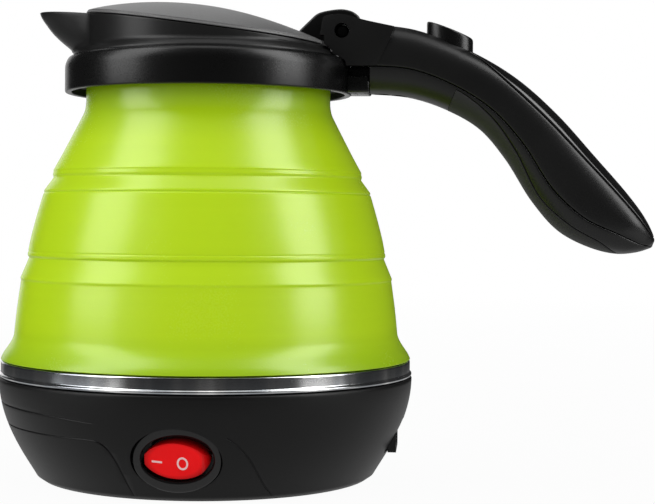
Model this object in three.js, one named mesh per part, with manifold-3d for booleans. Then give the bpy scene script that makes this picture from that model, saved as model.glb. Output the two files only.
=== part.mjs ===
// Folding travel kettle with a silicone body, in millimetres, +Z up.
// The origin is the centre of the underside of the base. +X points along the handle,
// -X along the spout, and the switch faces -Y.
import * as THREE from 'three';
import { mergeVertices } from 'three/addons/utils/BufferGeometryUtils.js';
import Module from 'manifold-3d';

const wasm = await Module();
wasm.setup();

// Clearance between pieces, how far a cutter passes what it cuts, and counts of facets
const gap = 0.3;
const overrun = 3;
const turnSteps = 28;
const boreSteps = 12;
const screwSteps = 8;
const curlSteps = 8;
const wireSides = 5;

// Base
const baseRadius = 65;
const baseCurveReach = 18;
const baseHeight = 31.6;
const baseWall = 2.4;
const baseCurveSteps = 6;
const plateMargin = 1.3;
const plateThickness = 2.3;
const ledgeWidth = 2.6;
const ledgeThickness = 2;
const pillarMargin = 6.3;
const pillarRadius = 3.2;
const pillarStartDegrees = 80;
const footStartDegrees = 20;
const footMargin = 5.7;
const footRadius = 2.6;
const footHeight = 1.4;
const footStem = 1.5;
const footSeat = 0.9;
const footTaperShare = 0.75;
const barbShare = 1.4;
const screwShank = 1.25;
const screwHead = 2.5;
const screwHeadDepth = 1.2;

const baseFlatRadius = baseRadius - baseCurveReach;
const plateRadius = baseFlatRadius - plateMargin;
const pillarCircle = plateRadius - pillarMargin;
const footCircle = plateRadius - footMargin;

// Steel pan, its clamp hoop and what heats it
const potSheet = 0.8;
const potDepth = 4;
const potShelf = 4.7;
const potCorner = 2.8;
const potBead = 0.5;
const bandHeight = 4.8;
const tongueDepth = 4;
const hoopRise = 2.2;
const spreaderMargin = 3.4;
const spreaderThickness = 2.9;
const bossDepth = 5;
const bossRadius = 3.2;
const elementMargin = 8.4;
const elementRadius = 3.3;
const elementOpenDegrees = 50;
const elementSteps = 18;
const elementSides = 6;
const elementDrop = 8;
const coldPinRadius = 1.1;
const coldPinLength = 5;
const thermostatRadius = 9;
const thermostatHeight = 7;
const bracketWidth = 7;
const bracketSheet = 1.2;
const bracketFoot = 5;

const potFloor = baseHeight - potDepth;
const potSkirtRadius = baseRadius - potBead;
const potRadius = potSkirtRadius - potShelf;
const bandTop = baseHeight + gap + bandHeight;
const spreaderRadius = pillarCircle + bossRadius + spreaderMargin;
const elementCircle = pillarCircle - elementMargin;

// Switch, set in a tilted oval pocket
const switchInset = 6;
const switchHeight = 13.2;
const switchTiltDegrees = 16;
const pocketRim = 2.2;
const pocketFloor = 4;
const bezelThickness = 2;
const bezelSide = 1.55;
const bezelEdge = 0.95;
const barrelWall = 1.1;
const barrelDepth = 13;
const rockerHalfWidth = 9.7;
const rockerHalfHeight = 5.9;
const rockerClearance = 0.8;
const rockerPivotDepth = 3;
const rockerProud = 3;
const rockerSunk = 0.3;
const rockerTail = 3.4;
const trunnionRadius = 1.2;
const ovalSteps = 20;
const terminalWidth = 4.8;
const terminalThickness = 0.8;
const terminalLength = 8;

const switchDepthRadius = baseRadius - switchInset;
const pocketHalfWidth = rockerHalfWidth + rockerClearance + barrelWall + bezelSide;
const pocketHalfHeight = rockerHalfHeight + rockerClearance + barrelWall + bezelEdge;

// Mains inlet under the handle
const inletHeight = 14.6;
const inletHalfWidth = 12.6;
const inletHalfHeight = 8.7;
const inletInset = 7.7;
const inletDepth = 15;
const inletWall = 1.4;
const inletBack = 2;
const inletChamfer = 3;
const inletPinSpread = 7;
const inletPinRise = 2;
const inletPinWidth = 2;
const inletPinTall = 4;
const inletPinReach = 10;
const inletPinTail = 6;

const inletFront = baseRadius - inletInset;

// Silicone body
const siliconeWall = 1.8;
const lowerHeight = 32;
const foldHeight = 20.4;
const upperHeight = 37.6;
const neckRadius = 38.5;
const neckFlange = 2.7;
const neckFlangeThickness = 2.1;

const sleeveFoot = bandTop + gap;
const foldBottom = sleeveFoot + lowerHeight;
const foldTop = foldBottom + foldHeight;
const neckTop = foldTop + upperHeight;

// Collar and the ring with the spout
const collarSkirt = 7;
const collarShoulderRise = 2;
const collarShoulderWidth = 3.4;
const collarShoulderDepth = 2.4;
const collarMouthMargin = 0.5;
const collarWall = 2;
const ringBeadMargin = 0.7;
const ringWall = 1.9;
const spigotClearance = 0.4;
const spigotDepth = 8;
const rimRise = 6.7;
const rimSlopeShare = 0.13;
const rimArcRadius = 500;
const rimStep = 0.2;
const spoutReach = 15.8;
const spoutLipRise = 1.2;
const spoutHalfDegrees = 27;

const collarBottom = neckTop - collarSkirt;
const collarShoulder = neckTop + collarShoulderRise;
const collarTop = collarShoulder + collarShoulderDepth;
const collarMouth = neckRadius + neckFlange + collarMouthMargin;
const collarRadius = collarMouth + collarShoulderWidth;
const ringBead = collarMouth - ringBeadMargin;
const ringSpigotRadius = neckRadius - siliconeWall - spigotClearance;
const ringSpigotBottom = neckTop - spigotDepth;
const rimHeight = collarTop + rimRise;

// Lid
const lidRadius = neckRadius;
const lidRise = 9.3;
const lidWall = 2.1;
const lidLeanShare = 0.178;
const lidPowerShare = 0.95;
const linerClearance = 0.9;
const linerDepth = 5;
const linerRise = 0.4;
const linerWall = 3;
const linerFloor = 1.5;
const sealThickness = 1.6;
const sealDepth = 1.6;
const sealDrop = 1.6;

// Hinge and its spring
const hingeReach = 4.2;
const hingeRise = 1.1;
const hingeBore = 2.3;
const knuckleRadius = 5.2;
const archRadius = 7.2;
const springPocketHalf = 3;
const springPocketRadius = 4.5;
const lidSpringRadius = 3.4;
const lidSpringWire = 0.4;
const lidSpringTurns = 3.5;
const headHalfWidth = 11;
const headLength = 14.3;
const headFrontShare = 1.04;
const cheekThickness = 3.7;

const hingeX = lidRadius + hingeReach;
const hingeZ = rimHeight + hingeRise;
const headEnd = hingeX + headLength;
const knuckleHalfWidth = headHalfWidth - cheekThickness - gap;

// Bracket on the collar that carries the handle
const blockReach = 6.1;
const blockHalfWidth = 9;
const blockThickness = 5;
const armReach = 10.8;
const armHalfWidth = 5.6;
const armRise = 1.3;
const armThickness = 4.4;
const armStep = 2.9;

const blockEnd = collarRadius + blockReach;
const armEnd = blockEnd + armReach;
const armTop = neckTop + armRise;
const armBottom = armTop - armThickness;
const blockTop = armTop - armStep;
const blockBottom = blockTop - blockThickness;

// Handle
const handleRootReach = 7.7;
const handleLength = 105.3;
const handleDrop = 73.6;
const handleRise = 5.2;
const handleWall = 3.2;
const skinDepth = 1.4;
const handleSides = 12;
const handleSteps = 14;
const curveSamples = 200;
const parting = 0.3;
const handleScrewInset = 3.8;
const handleScrewPitch = 5.4;
const handleScrewHead = 2.2;
const handleScrewSink = 1.8;

const handleRootX = hingeX - handleRootReach;
const handleRootZ = hingeZ + handleRise;
const handleDepth = handleRootZ - blockBottom;
const handleFoot = handleRootZ - handleDrop;
const handleOpenX = blockEnd + 2 * gap;

// Release button, its bolt and their springs
const buttonReach = 41.05;
const buttonHalfLength = 7.25;
const buttonHalfWidth = 5.75;
const buttonProud = 4;
const buttonFlange = 1.2;
const buttonFlangeThickness = 1.4;
const buttonTravel = 2.5;
const buttonSlopeShare = 0.394;
const boltHalfWidth = 2.4;
const boltNoseGap = 0.4;
const boltNoseLength = 1.3;
const boltNoseDrop = 1.8;
const boltNoseThickness = 2.2;
const boltTowerThickness = 2.9;
const boltBarThickness = 2.4;
const boltStepReach = 3.6;
const boltTailDrop = 3.3;
const boltTailThickness = 1.7;
const boltRampReach = 6.05;
const boltRampRise = 3;
const boltEndLength = 1.9;
const boltSpringRadius = 1.9;
const boltSpringWire = 0.35;
const boltSpringTurns = 4;
const stopThickness = 2;
const buttonSpringReach = 4.15;
const buttonSpringRadius = 2.2;
const buttonSpringWire = 0.4;
const buttonSpringTurns = 4;
const springPostDrop = 7.9;
const springPostRadius = 3;

const buttonX = handleRootX + buttonReach;
const boltNose = hingeX + archRadius + boltNoseGap;
const boltNoseTop = hingeZ - boltNoseDrop;
const boltNoseBottom = boltNoseTop - boltNoseThickness;
const boltTowerLeft = boltNose + boltNoseLength;
const boltTowerRight = boltTowerLeft + boltTowerThickness;
const boltBarBottom = armTop + gap;
const boltBarTop = boltBarBottom + boltBarThickness;
const boltStepX = armEnd + boltStepReach;
const boltTailTop = armTop - boltTailDrop;
const boltTailBottom = boltTailTop - boltTailThickness;
const boltRampX = buttonX - boltRampReach;
const boltEndX = boltRampX + boltRampRise + boltEndLength;
const stopX = armEnd;
const buttonSpringX = buttonX + buttonSpringReach;
const springPostTop = armTop - springPostDrop;

const radians = THREE.MathUtils.degToRad;

// Geometry helpers

// Joins the vertices of a closed geometry and hands it to the solid library, facing out.
function toSolid(geometry) {
  const bare = geometry.clone();
  bare.deleteAttribute('normal');
  bare.deleteAttribute('uv');
  const merged = mergeVertices(bare);
  const place = merged.attributes.position.array;
  const index = merged.index.array;
  const corners = [];
  let volume = 0;
  for (let i = 0; i < index.length; i += 3) {
    const [a, b, c] = [index[i], index[i + 1], index[i + 2]];
    if (a === b || b === c || c === a) continue;
    corners.push([a, b, c]);
    const [p, q, r] = [a, b, c].map((k) => new THREE.Vector3().fromArray(place, 3 * k));
    volume += p.dot(q.cross(r));
  }
  if (volume < 0) corners.forEach((corner) => corner.reverse());
  const vertProperties = Float32Array.from(place);
  const triVerts = Uint32Array.from(corners.flat());
  return new wasm.Manifold(new wasm.Mesh({ numProp: 3, vertProperties, triVerts }));
}

function fromSolid(solid) {
  const { numProp, vertProperties, triVerts } = solid.getMesh();
  const place = [];
  for (let i = 0; i < vertProperties.length; i += numProp) {
    place.push(vertProperties[i], vertProperties[i + 1], vertProperties[i + 2]);
  }
  const geometry = new THREE.BufferGeometry();
  geometry.setAttribute('position', new THREE.Float32BufferAttribute(place, 3));
  geometry.setIndex(Array.from(triVerts));
  return geometry;
}

function cut(geometry, ...tools) {
  return fromSolid(tools.reduce((solid, tool) => solid.subtract(toSolid(tool)), toSolid(geometry)));
}

function join(geometry, ...others) {
  return fromSolid(others.reduce((solid, other) => solid.add(toSolid(other)), toSolid(geometry)));
}

function common(geometry, ...others) {
  return fromSolid(others.reduce((solid, other) => solid.intersect(toSolid(other)), toSolid(geometry)));
}

// A body turned about Z from [radius, height] points that run from axis to axis.
function revolve(points, steps = turnSteps) {
  const profile = points.map(([r, z]) => new THREE.Vector2(r, z));
  return new THREE.LatheGeometry(profile, steps).rotateX(Math.PI / 2);
}

// A ring turned about Z from a closed loop of [radius, height] points.
function revolveRing(points, steps = turnSteps) {
  return revolve([...points, points[0]], steps);
}

// An upright round bar between two heights.
function rod(radius, low, high, x = 0, y = 0, steps = boreSteps) {
  return revolve([[0, low], [radius, low], [radius, high], [0, high]], steps).translate(x, y, 0);
}

function box(low, high) {
  const size = high.map((value, i) => value - low[i]);
  const middle = high.map((value, i) => (value + low[i]) / 2);
  return new THREE.BoxGeometry(...size).translate(...middle);
}

// An [x, y] outline raised from one height to another.
function plate(outline, low, high) {
  const shape = new THREE.Shape(outline.map(([x, y]) => new THREE.Vector2(x, y)));
  const geometry = new THREE.ExtrudeGeometry(shape, { depth: high - low, bevelEnabled: false });
  return geometry.translate(0, 0, low);
}

// An [x, z] outline carried the same way to both sides of the middle plane.
function slab(outline, half) {
  return plate(outline, -half, half).rotateX(Math.PI / 2);
}

// A round bar along Y through the point x, z.
function crossRod(radius, half, x, z, steps = boreSteps) {
  return rod(radius, -half, half, 0, 0, steps).rotateX(Math.PI / 2).translate(x, 0, z);
}

function oval(halfX, halfY, steps = ovalSteps) {
  return Array.from({ length: steps }, (_, i) => {
    const angle = (2 * Math.PI * i) / steps;
    return [halfX * Math.cos(angle), halfY * Math.sin(angle)];
  });
}

// A skin over rings of equal count, looped back on itself or capped at both ends.
function skin(rings, looped = false) {
  const count = rings[0].length;
  const place = rings.flat().flatMap((point) => point.toArray());
  const faces = [];
  const spans = looped ? rings.length : rings.length - 1;
  for (let i = 0; i < spans; i += 1) {
    const next = (i + 1) % rings.length;
    for (let j = 0; j < count; j += 1) {
      const side = (j + 1) % count;
      const [a, b] = [i * count + j, i * count + side];
      const [c, d] = [next * count + side, next * count + j];
      faces.push(a, b, c, a, c, d);
    }
  }
  if (!looped) {
    for (const [ring, turn] of [[0, -1], [rings.length - 1, 1]]) {
      const middle = new THREE.Vector3();
      rings[ring].forEach((point) => middle.addScaledVector(point, 1 / count));
      const centre = place.length / 3;
      place.push(...middle.toArray());
      for (let j = 0; j < count; j += 1) {
        const edge = [ring * count + j, ring * count + ((j + 1) % count)];
        if (turn < 0) edge.reverse();
        faces.push(centre, ...edge);
      }
    }
  }
  const geometry = new THREE.BufferGeometry();
  geometry.setAttribute('position', new THREE.Float32BufferAttribute(place, 3));
  geometry.setIndex(faces);
  return geometry;
}

// A round wire along a list of points, with its rings square to the run.
function wire(points, radius, sides = wireSides) {
  const rings = points.map((point, i) => {
    const before = points[Math.max(i - 1, 0)];
    const after = points[Math.min(i + 1, points.length - 1)];
    const run = after.clone().sub(before).normalize();
    const guide = Math.abs(run.z) < 0.9 ? new THREE.Vector3(0, 0, 1) : new THREE.Vector3(0, 1, 0);
    const across = guide.clone().cross(run).normalize();
    const up = run.clone().cross(across);
    return Array.from({ length: sides }, (_, j) => {
      const angle = (2 * Math.PI * j) / sides;
      const spoke = across.clone().multiplyScalar(Math.cos(angle)).addScaledVector(up, Math.sin(angle));
      return point.clone().addScaledVector(spoke, radius);
    });
  });
  return skin(rings);
}

// The middle line of a coil about the local Z axis, from one end to the other.
function coilLine(radius, turns, length) {
  const steps = Math.round(turns * curlSteps);
  return Array.from({ length: steps + 1 }, (_, i) => {
    const angle = (2 * Math.PI * i) / curlSteps;
    return new THREE.Vector3(radius * Math.cos(angle), radius * Math.sin(angle), (length * i) / steps);
  });
}

// Least gap between turns of a wire, on the points of its middle line.
function leastGap(points, radius) {
  let least = Infinity;
  for (let i = 0; i < points.length; i += 1) {
    for (let j = i + curlSteps - 1; j < points.length; j += 1) {
      least = Math.min(least, points[i].distanceTo(points[j]) - 2 * radius);
    }
  }
  return least;
}

// Points at equal angles round a circle about Z.
function around(count, radius, startDegrees) {
  return Array.from({ length: count }, (_, i) => {
    const angle = radians(startDegrees) + (2 * Math.PI * i) / count;
    return [radius * Math.cos(angle), radius * Math.sin(angle)];
  });
}

// Base

// Radius of the quarter ellipse that the bowl follows, drawn in by the wall when asked.
function bowlCurve(inset, steps = baseCurveSteps) {
  return Array.from({ length: steps + 1 }, (_, i) => {
    const angle = (Math.PI / 2) * (i / steps);
    const radius = baseFlatRadius + (baseRadius - baseFlatRadius - inset) * Math.sin(angle);
    return [radius, baseHeight - (baseHeight - inset) * Math.cos(angle)];
  });
}

const ledgeBottom = plateThickness + gap;
const ledgeTop = ledgeBottom + ledgeThickness;
const plateSeat = plateRadius + gap;

// Puts a geometry drawn on the switch's face, with +Z out of it, in its place on the base.
function atSwitch(geometry) {
  const tilt = Math.PI / 2 + radians(switchTiltDegrees);
  return geometry.rotateX(tilt).translate(0, -switchDepthRadius, switchHeight);
}

function baseHousing() {
  const outer = bowlCurve(0);
  const inner = bowlCurve(baseWall, baseCurveSteps / 2 + 1).filter(([, z]) => z > ledgeTop).reverse();
  const innerFoot = inner[inner.length - 1][0] - baseWall;
  const shell = revolveRing([
    ...outer, ...inner,
    [innerFoot, ledgeTop], [plateSeat - ledgeWidth, ledgeTop], [plateSeat - ledgeWidth, ledgeBottom],
    [plateSeat, ledgeBottom], [plateSeat, 0],
  ]);
  const envelope = revolve([[0, ledgeBottom], ...outer.filter(([, z]) => z > ledgeBottom), [0, baseHeight]]);
  const reach = baseRadius - switchDepthRadius + overrun;
  const surround = atSwitch(plate(
    oval(pocketHalfWidth + pocketRim, pocketHalfHeight + pocketRim), -pocketFloor, reach));
  const pocket = atSwitch(plate(oval(pocketHalfWidth, pocketHalfHeight), -bezelThickness - gap, reach));
  const hole = atSwitch(plate(barrelOval(barrelWall + gap), -pocketFloor - overrun, reach));
  const inletBox = box(
    [inletFront - inletDepth / 2, -inletHalfWidth - pocketRim, ledgeBottom + gap],
    [baseRadius + overrun, inletHalfWidth + pocketRim, inletHeight + inletHalfHeight + pocketRim]);
  const inletHole = inletPrism(gap, inletFront - inletDepth, baseRadius + overrun);
  const bowl = join(shell, common(surround, envelope), common(inletBox, envelope));
  return cut(bowl, pocket, hole, inletHole);
}

function basePlate() {
  let cover = rod(plateRadius, 0, plateThickness, 0, 0, turnSteps);
  const pillarTop = potFloor - gap - spreaderThickness - bossDepth - gap;
  for (const [x, y] of around(3, pillarCircle, pillarStartDegrees)) {
    cover = join(cover, rod(pillarRadius, plateThickness / 2, pillarTop, x, y, screwSteps));
    cover = cut(cover,
      rod(screwShank + gap, -overrun, pillarTop + overrun, x, y, screwSteps),
      rod(screwHead + gap, -overrun, screwHeadDepth + gap, x, y, screwSteps));
  }
  for (const [x, y] of around(3, footCircle, footStartDegrees)) {
    cover = cut(cover,
      rod(footStem + gap, -overrun, plateThickness + overrun, x, y, screwSteps),
      rod(footRadius + gap, -overrun, footSeat, x, y, screwSteps));
  }
  return cover;
}

// A rubber foot: a tapered pad in its seat, a stem through the plate and a barb above it.
function foot([x, y]) {
  const barb = plateThickness + gap;
  const seat = footSeat - gap;
  return revolve([
    [0, -footHeight], [footRadius * footTaperShare, -footHeight], [footRadius, 0], [footRadius, seat],
    [footStem, seat], [footStem, barb], [footStem * barbShare, barb], [0, barb + footStem],
  ], screwSteps).translate(x, y, 0);
}

// A pan-head screw standing on its head.
function screw(headRadius, headDepth, shank, low, high) {
  return revolve([[0, low], [headRadius, low], [headRadius, low + headDepth],
    [shank, low + headDepth], [shank, high - shank], [0, high]], screwSteps);
}

function baseScrew([x, y]) {
  const top = potFloor - gap - spreaderThickness - gap;
  return screw(screwHead, screwHeadDepth - gap, screwShank, gap, top).translate(x, y, 0);
}

// Heating

const tongueOuter = potRadius - potSheet - gap;
const tongueInner = tongueOuter - siliconeWall;

function heaterPot() {
  const skirtFoot = baseHeight + gap;
  const inside = potRadius - potSheet;
  return revolve([
    [0, potFloor], [potRadius - potCorner, potFloor], [potRadius, potFloor + potCorner],
    [potRadius, bandTop - potSheet], [potSkirtRadius - potSheet, bandTop - potSheet],
    [potSkirtRadius - potSheet, skirtFoot], [potSkirtRadius, skirtFoot],
    [potSkirtRadius + potBead, skirtFoot + potBead], [potSkirtRadius, skirtFoot + 2 * potBead],
    [potSkirtRadius, bandTop - potBead], [potSkirtRadius - potBead, bandTop],
    [inside, bandTop], [inside, potFloor + potCorner],
    [potRadius - potCorner, potFloor + potSheet], [0, potFloor + potSheet],
  ]);
}

function clampRing() {
  const outer = tongueInner - gap;
  const inner = outer - potSheet;
  const lip = sleeveFoot + siliconeWall + gap;
  return revolveRing([
    [inner, sleeveFoot - tongueDepth], [outer, sleeveFoot - tongueDepth], [outer, lip],
    [outer + hoopRise, lip + hoopRise / 2], [outer + hoopRise, lip + hoopRise / 2 + potSheet],
    [inner, lip + potSheet],
  ]);
}

function heatSpreader() {
  const top = potFloor - gap;
  const low = top - spreaderThickness;
  let disc = rod(spreaderRadius, low, top, 0, 0, turnSteps);
  for (const [x, y] of around(3, pillarCircle, pillarStartDegrees)) {
    disc = join(disc, rod(bossRadius, low - bossDepth, top - spreaderThickness / 2, x, y));
    disc = cut(disc, rod(screwShank + gap, low - bossDepth - overrun, low + gap, x, y, screwSteps));
  }
  return disc;
}

// The element is an open ring whose two ends turn down to their cold pins.
const elementHeight = potFloor - gap - spreaderThickness - gap - elementRadius;
const elementEnds = [1, -1].map((side) => {
  const angle = side * radians(elementOpenDegrees / 2);
  return [elementCircle * Math.cos(angle), elementCircle * Math.sin(angle)];
});

function heatingElement() {
  const open = radians(elementOpenDegrees);
  const ring = Array.from({ length: elementSteps + 1 }, (_, i) => {
    const angle = open / 2 + ((2 * Math.PI - open) * i) / elementSteps;
    return new THREE.Vector3(elementCircle * Math.cos(angle), elementCircle * Math.sin(angle), elementHeight);
  });
  const arc = wire(ring, elementRadius, elementSides);
  const legs = elementEnds.map(([x, y]) => (
    rod(elementRadius, elementHeight - elementDrop, elementHeight + elementRadius, x, y, elementSides)));
  return join(arc, ...legs);
}

function coldPin([x, y]) {
  const top = elementHeight - elementDrop - gap;
  return revolve([[0, top - coldPinLength], [coldPinRadius / 2, top - coldPinLength],
    [coldPinRadius, top - coldPinLength + coldPinRadius], [coldPinRadius, top], [0, top]], screwSteps)
    .translate(x, y, 0);
}

function thermostat() {
  const top = potFloor - gap - spreaderThickness - gap;
  const shoulder = top - thermostatHeight / 3;
  return revolve([
    [0, top - thermostatHeight], [thermostatRadius * 0.8, top - thermostatHeight],
    [thermostatRadius * 0.8, shoulder], [thermostatRadius, shoulder], [thermostatRadius, top], [0, top],
  ], turnSteps / 2);
}

// A strap under the thermostat with a foot at each end against the spreader.
function thermostatBracket() {
  const top = potFloor - gap - spreaderThickness - gap;
  const strap = top - thermostatHeight - gap;
  const side = thermostatRadius + gap;
  const right = [
    [side + bracketFoot, top], [side + bracketFoot, top - bracketSheet],
    [side + bracketSheet, top - bracketSheet], [side + bracketSheet, strap - bracketSheet],
  ];
  const left = right.map(([x, z]) => [-x, z]).reverse();
  const inner = [[-side, strap], [-side, top]];
  const rest = [[side, top], [side, strap]];
  return slab([...right, ...left, ...inner.reverse(), ...rest.reverse()], bracketWidth / 2);
}

// Switch

// Outline of the switch barrel, a wall wider than the opening that the rocker fills.
function barrelOval(wall) {
  const reach = rockerClearance + wall;
  return oval(rockerHalfWidth + reach, rockerHalfHeight + reach);
}

function switchBody() {
  const bezel = plate(oval(pocketHalfWidth - gap, pocketHalfHeight - gap), -bezelThickness, 0);
  const barrel = plate(barrelOval(barrelWall), -barrelDepth, -bezelThickness / 2);
  const cavityFloor = -rockerPivotDepth - rockerTail - 2 * rockerClearance;
  const opening = plate(barrelOval(0), cavityFloor, overrun);
  const pivot = crossRod(trunnionRadius + gap, rockerHalfHeight + rockerClearance + barrelWall + overrun,
    0, -rockerPivotDepth);
  const [slotHalfWidth, slotHalfThickness] = [terminalWidth / 2 + gap, terminalThickness / 2 + gap];
  const slots = [-1, 1].map((side) => (side * rockerHalfWidth) / 2).map((middle) => box(
    [middle - slotHalfWidth, -slotHalfThickness, -barrelDepth - overrun],
    [middle + slotHalfWidth, slotHalfThickness, cavityFloor - barrelWall]));
  return atSwitch(cut(join(bezel, barrel), opening, pivot, ...slots));
}

function switchTerminal(side) {
  const middle = (side * rockerHalfWidth) / 2;
  const top = -rockerPivotDepth - rockerTail - 2 * rockerClearance - barrelWall - gap;
  const blade = box([middle - terminalWidth / 2, -terminalThickness / 2, -barrelDepth - terminalLength],
    [middle + terminalWidth / 2, terminalThickness / 2, top]);
  const eye = crossRod(terminalThickness, terminalThickness + overrun, middle,
    -barrelDepth - terminalLength + terminalWidth / 2);
  return atSwitch(cut(blade, eye));
}

// The rocker's side view: ends on arcs about the pivot, and a face higher at one end.
function rocker() {
  const endArc = (height) => Math.sqrt(rockerHalfWidth ** 2 - height ** 2);
  const high = rockerPivotDepth + rockerProud;
  const low = rockerPivotDepth + rockerSunk;
  const middle = rockerPivotDepth + rockerProud / 2;
  const heights = [0, 0.5, 1];
  const right = heights.map((share) => [endArc(high * share), high * share]);
  const left = heights.map((share) => [-endArc(low * share), low * share]).reverse();
  const outline = [[-rockerTail, -rockerTail], [rockerTail, -rockerTail], ...right, [0, middle], ...left];
  const side = slab(outline, rockerHalfHeight + overrun).translate(0, 0, -rockerPivotDepth);
  const depth = rockerPivotDepth + rockerTail + overrun;
  const column = plate(oval(rockerHalfWidth, rockerHalfHeight), -depth, depth);
  const trunnion = crossRod(trunnionRadius, rockerHalfHeight + rockerClearance + barrelWall / 2,
    0, -rockerPivotDepth);
  return atSwitch(join(common(side, column), trunnion));
}

// Mains inlet

// The inlet's outline, with its two upper corners cut off, carried along X.
function inletPrism(grow, low, high) {
  const [w, h, c] = [inletHalfWidth + grow, inletHalfHeight + grow, inletChamfer];
  const outline = [[-w, -h], [w, -h], [w, h - c], [w - c, h], [c - w, h], [-w, h - c]];
  return plate(outline, low, high).rotateX(Math.PI / 2).rotateZ(Math.PI / 2).translate(0, 0, inletHeight);
}

const inletPins = [
  ['line', -inletPinSpread, -inletPinRise],
  ['neutral', inletPinSpread, -inletPinRise],
  ['earth', 0, inletPinRise],
];

function inletPin([, y, rise], grow = 0) {
  const root = inletFront - inletDepth;
  const [w, h] = [inletPinWidth / 2 + grow, inletPinTall / 2 + grow];
  const z = inletHeight + rise;
  const tail = grow ? overrun : inletPinTail;
  return box([root - tail, y - w, z - h], [root + inletBack + inletPinReach, y + w, z + h]);
}

function mainsInlet() {
  const root = inletFront - inletDepth;
  const block = inletPrism(0, root, inletFront);
  const socket = inletPrism(-inletWall, root + inletBack, inletFront + overrun);
  return cut(block, socket, ...inletPins.map((pin) => inletPin(pin, gap)));
}

// Silicone body

// Lines of the three stretches, as shares of the way from the neck's radius out to the
// steel band's, and of the height of the stretch.
const lowerSleeveShares = [
  [1, 0], [0.972, 0.05], [0.882, 0.155], [0.844, 0.22],
  [0.812, 0.48], [0.764, 0.78], [0.67, 0.985], [0.684, 1],
];
const lowerCavityShares = [[0.832, 0.056], [0.769, 0.2], [0.694, 0.78], [0.614, 1]];
const foldShares = [[0.687, 0], [0.649, 0.28], [0.579, 0.62], [0.494, 1]];
const upperSleeveShares = [
  [0.487, 0], [0.382, 0.13], [0.387, 0.16], [0.287, 0.29], [0.122, 0.51], [0.019, 0.65], [0, 0.72],
];
const upperCavityShares = [[0.417, 0], [0.219, 0.29], [-0.046, 0.65]];

function fromShares(shares, low, high) {
  return shares.map(([r, z]) => [neckRadius + r * (potSkirtRadius - neckRadius), low + z * (high - low)]);
}

function lowerSleeve() {
  const outer = fromShares(lowerSleeveShares, sleeveFoot, foldBottom);
  const cavity = fromShares(lowerCavityShares, sleeveFoot, foldBottom).reverse();
  return revolveRing([
    [tongueInner, sleeveFoot - tongueDepth], [tongueOuter, sleeveFoot - tongueDepth],
    [tongueOuter, sleeveFoot], ...outer, ...cavity,
    [tongueInner, sleeveFoot + siliconeWall],
  ]);
}

function middleFold() {
  const outer = fromShares(foldShares, foldBottom + gap, foldTop - gap);
  const inner = outer.map(([r, z]) => [r - siliconeWall, z]).reverse();
  return revolveRing([...outer, ...inner]);
}

function upperSleeve() {
  const outer = fromShares(upperSleeveShares, foldTop, neckTop);
  const cavity = fromShares(upperCavityShares, foldTop, neckTop).reverse();
  const flange = neckRadius + neckFlange;
  const flangeFoot = neckTop - neckFlangeThickness;
  return revolveRing([
    ...outer, [neckRadius, flangeFoot], [flange, flangeFoot], [flange, neckTop],
    [neckRadius - siliconeWall, neckTop], ...cavity,
  ]);
}

// Collar with the bracket that carries the handle

const shelfTop = neckTop - neckFlangeThickness - gap;
const shelfBottom = shelfTop - collarWall;

// Outer line of the collar from its foot to its mouth, grown by a clearance when asked.
function collarLine(grow) {
  const outer = collarRadius + grow;
  const rise = collarTop - collarShoulder;
  const width = collarRadius - collarMouth;
  return [
    [outer, collarBottom], [outer, collarShoulder],
    [outer - width * 0.15, collarShoulder + rise * 0.55 + grow * 0.5],
    [outer - width * 0.5, collarShoulder + rise * 0.92 + grow],
    [outer - width * 0.85, collarTop + grow],
    [collarMouth, collarTop - rise * 0.1 + grow],
  ];
}

function collar() {
  const ring = revolveRing([
    ...collarLine(0), [collarMouth, shelfTop], [neckRadius + 2 * gap, shelfTop],
    [neckRadius + 2 * gap, shelfBottom], [collarRadius - collarWall, shelfBottom],
    [collarRadius - collarWall, collarBottom],
  ]);
  const start = collarRadius - collarWall / 2;
  const block = box([start - overrun, -blockHalfWidth, blockBottom], [blockEnd, blockHalfWidth, blockTop]);
  const arm = box([start - overrun, -armHalfWidth, armBottom], [armEnd, armHalfWidth, armTop]);
  const inside = collarRadius - collarWall + gap;
  const keep = revolve([[0, collarBottom - overrun], [inside, collarBottom - overrun],
    [inside, collarTop + overrun], [0, collarTop + overrun]]);
  const bracket = cut(join(block, arm), keep, ...handleScrewPlaces.map((x) => (
    rod(screwShank + gap, armBottom - overrun, armTop - gap, x, 0))));
  return join(ring, bracket);
}

// Ring with the spout

// Height of the sloping rim that the lid closes on, over a point of the plan.
function rimLine(x) {
  return rimHeight - rimSlopeShare * x + (x * x) / (2 * rimArcRadius);
}

// Angles round the ring, twice as close together at the spout.
function ringAngles() {
  const step = (2 * Math.PI) / turnSteps;
  return Array.from({ length: turnSteps }, (_, i) => i * step).flatMap((angle) => (
    Math.abs(angle + step / 2 - Math.PI) < radians(spoutHalfDegrees) ? [angle, angle + step / 2] : [angle]));
}

// Radius of a turned piece's polygon at an angle, as a share of its radius at the corners.
function facetShare(angle) {
  const half = Math.PI / turnSteps;
  return Math.cos(half) / Math.cos((angle % (2 * half)) - half);
}

// How far the wall has swept out into the spout at an angle, from 0 to 1.
function spoutShape(angle) {
  const share = Math.abs(angle - Math.PI) / radians(spoutHalfDegrees);
  return share < 1 ? Math.cos((Math.PI / 2) * share) ** 1.6 : 0;
}

// Sweep of the spout's keel as a share of its reach, over the share of its height.
const keelShares = [[0, 0.1], [0.12, 0.3], [0.3, 0.52], [0.53, 0.74], [0.76, 0.89], [0.93, 0.98], [1, 1]];

function keel(share) {
  const spans = keelShares.length - 1;
  for (let i = 0; i < spans; i += 1) {
    const [[a, from], [b, to]] = [keelShares[i], keelShares[i + 1]];
    if (share <= b) return from + ((to - from) * Math.max(share - a, 0)) / (b - a);
  }
  return 1;
}

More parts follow.
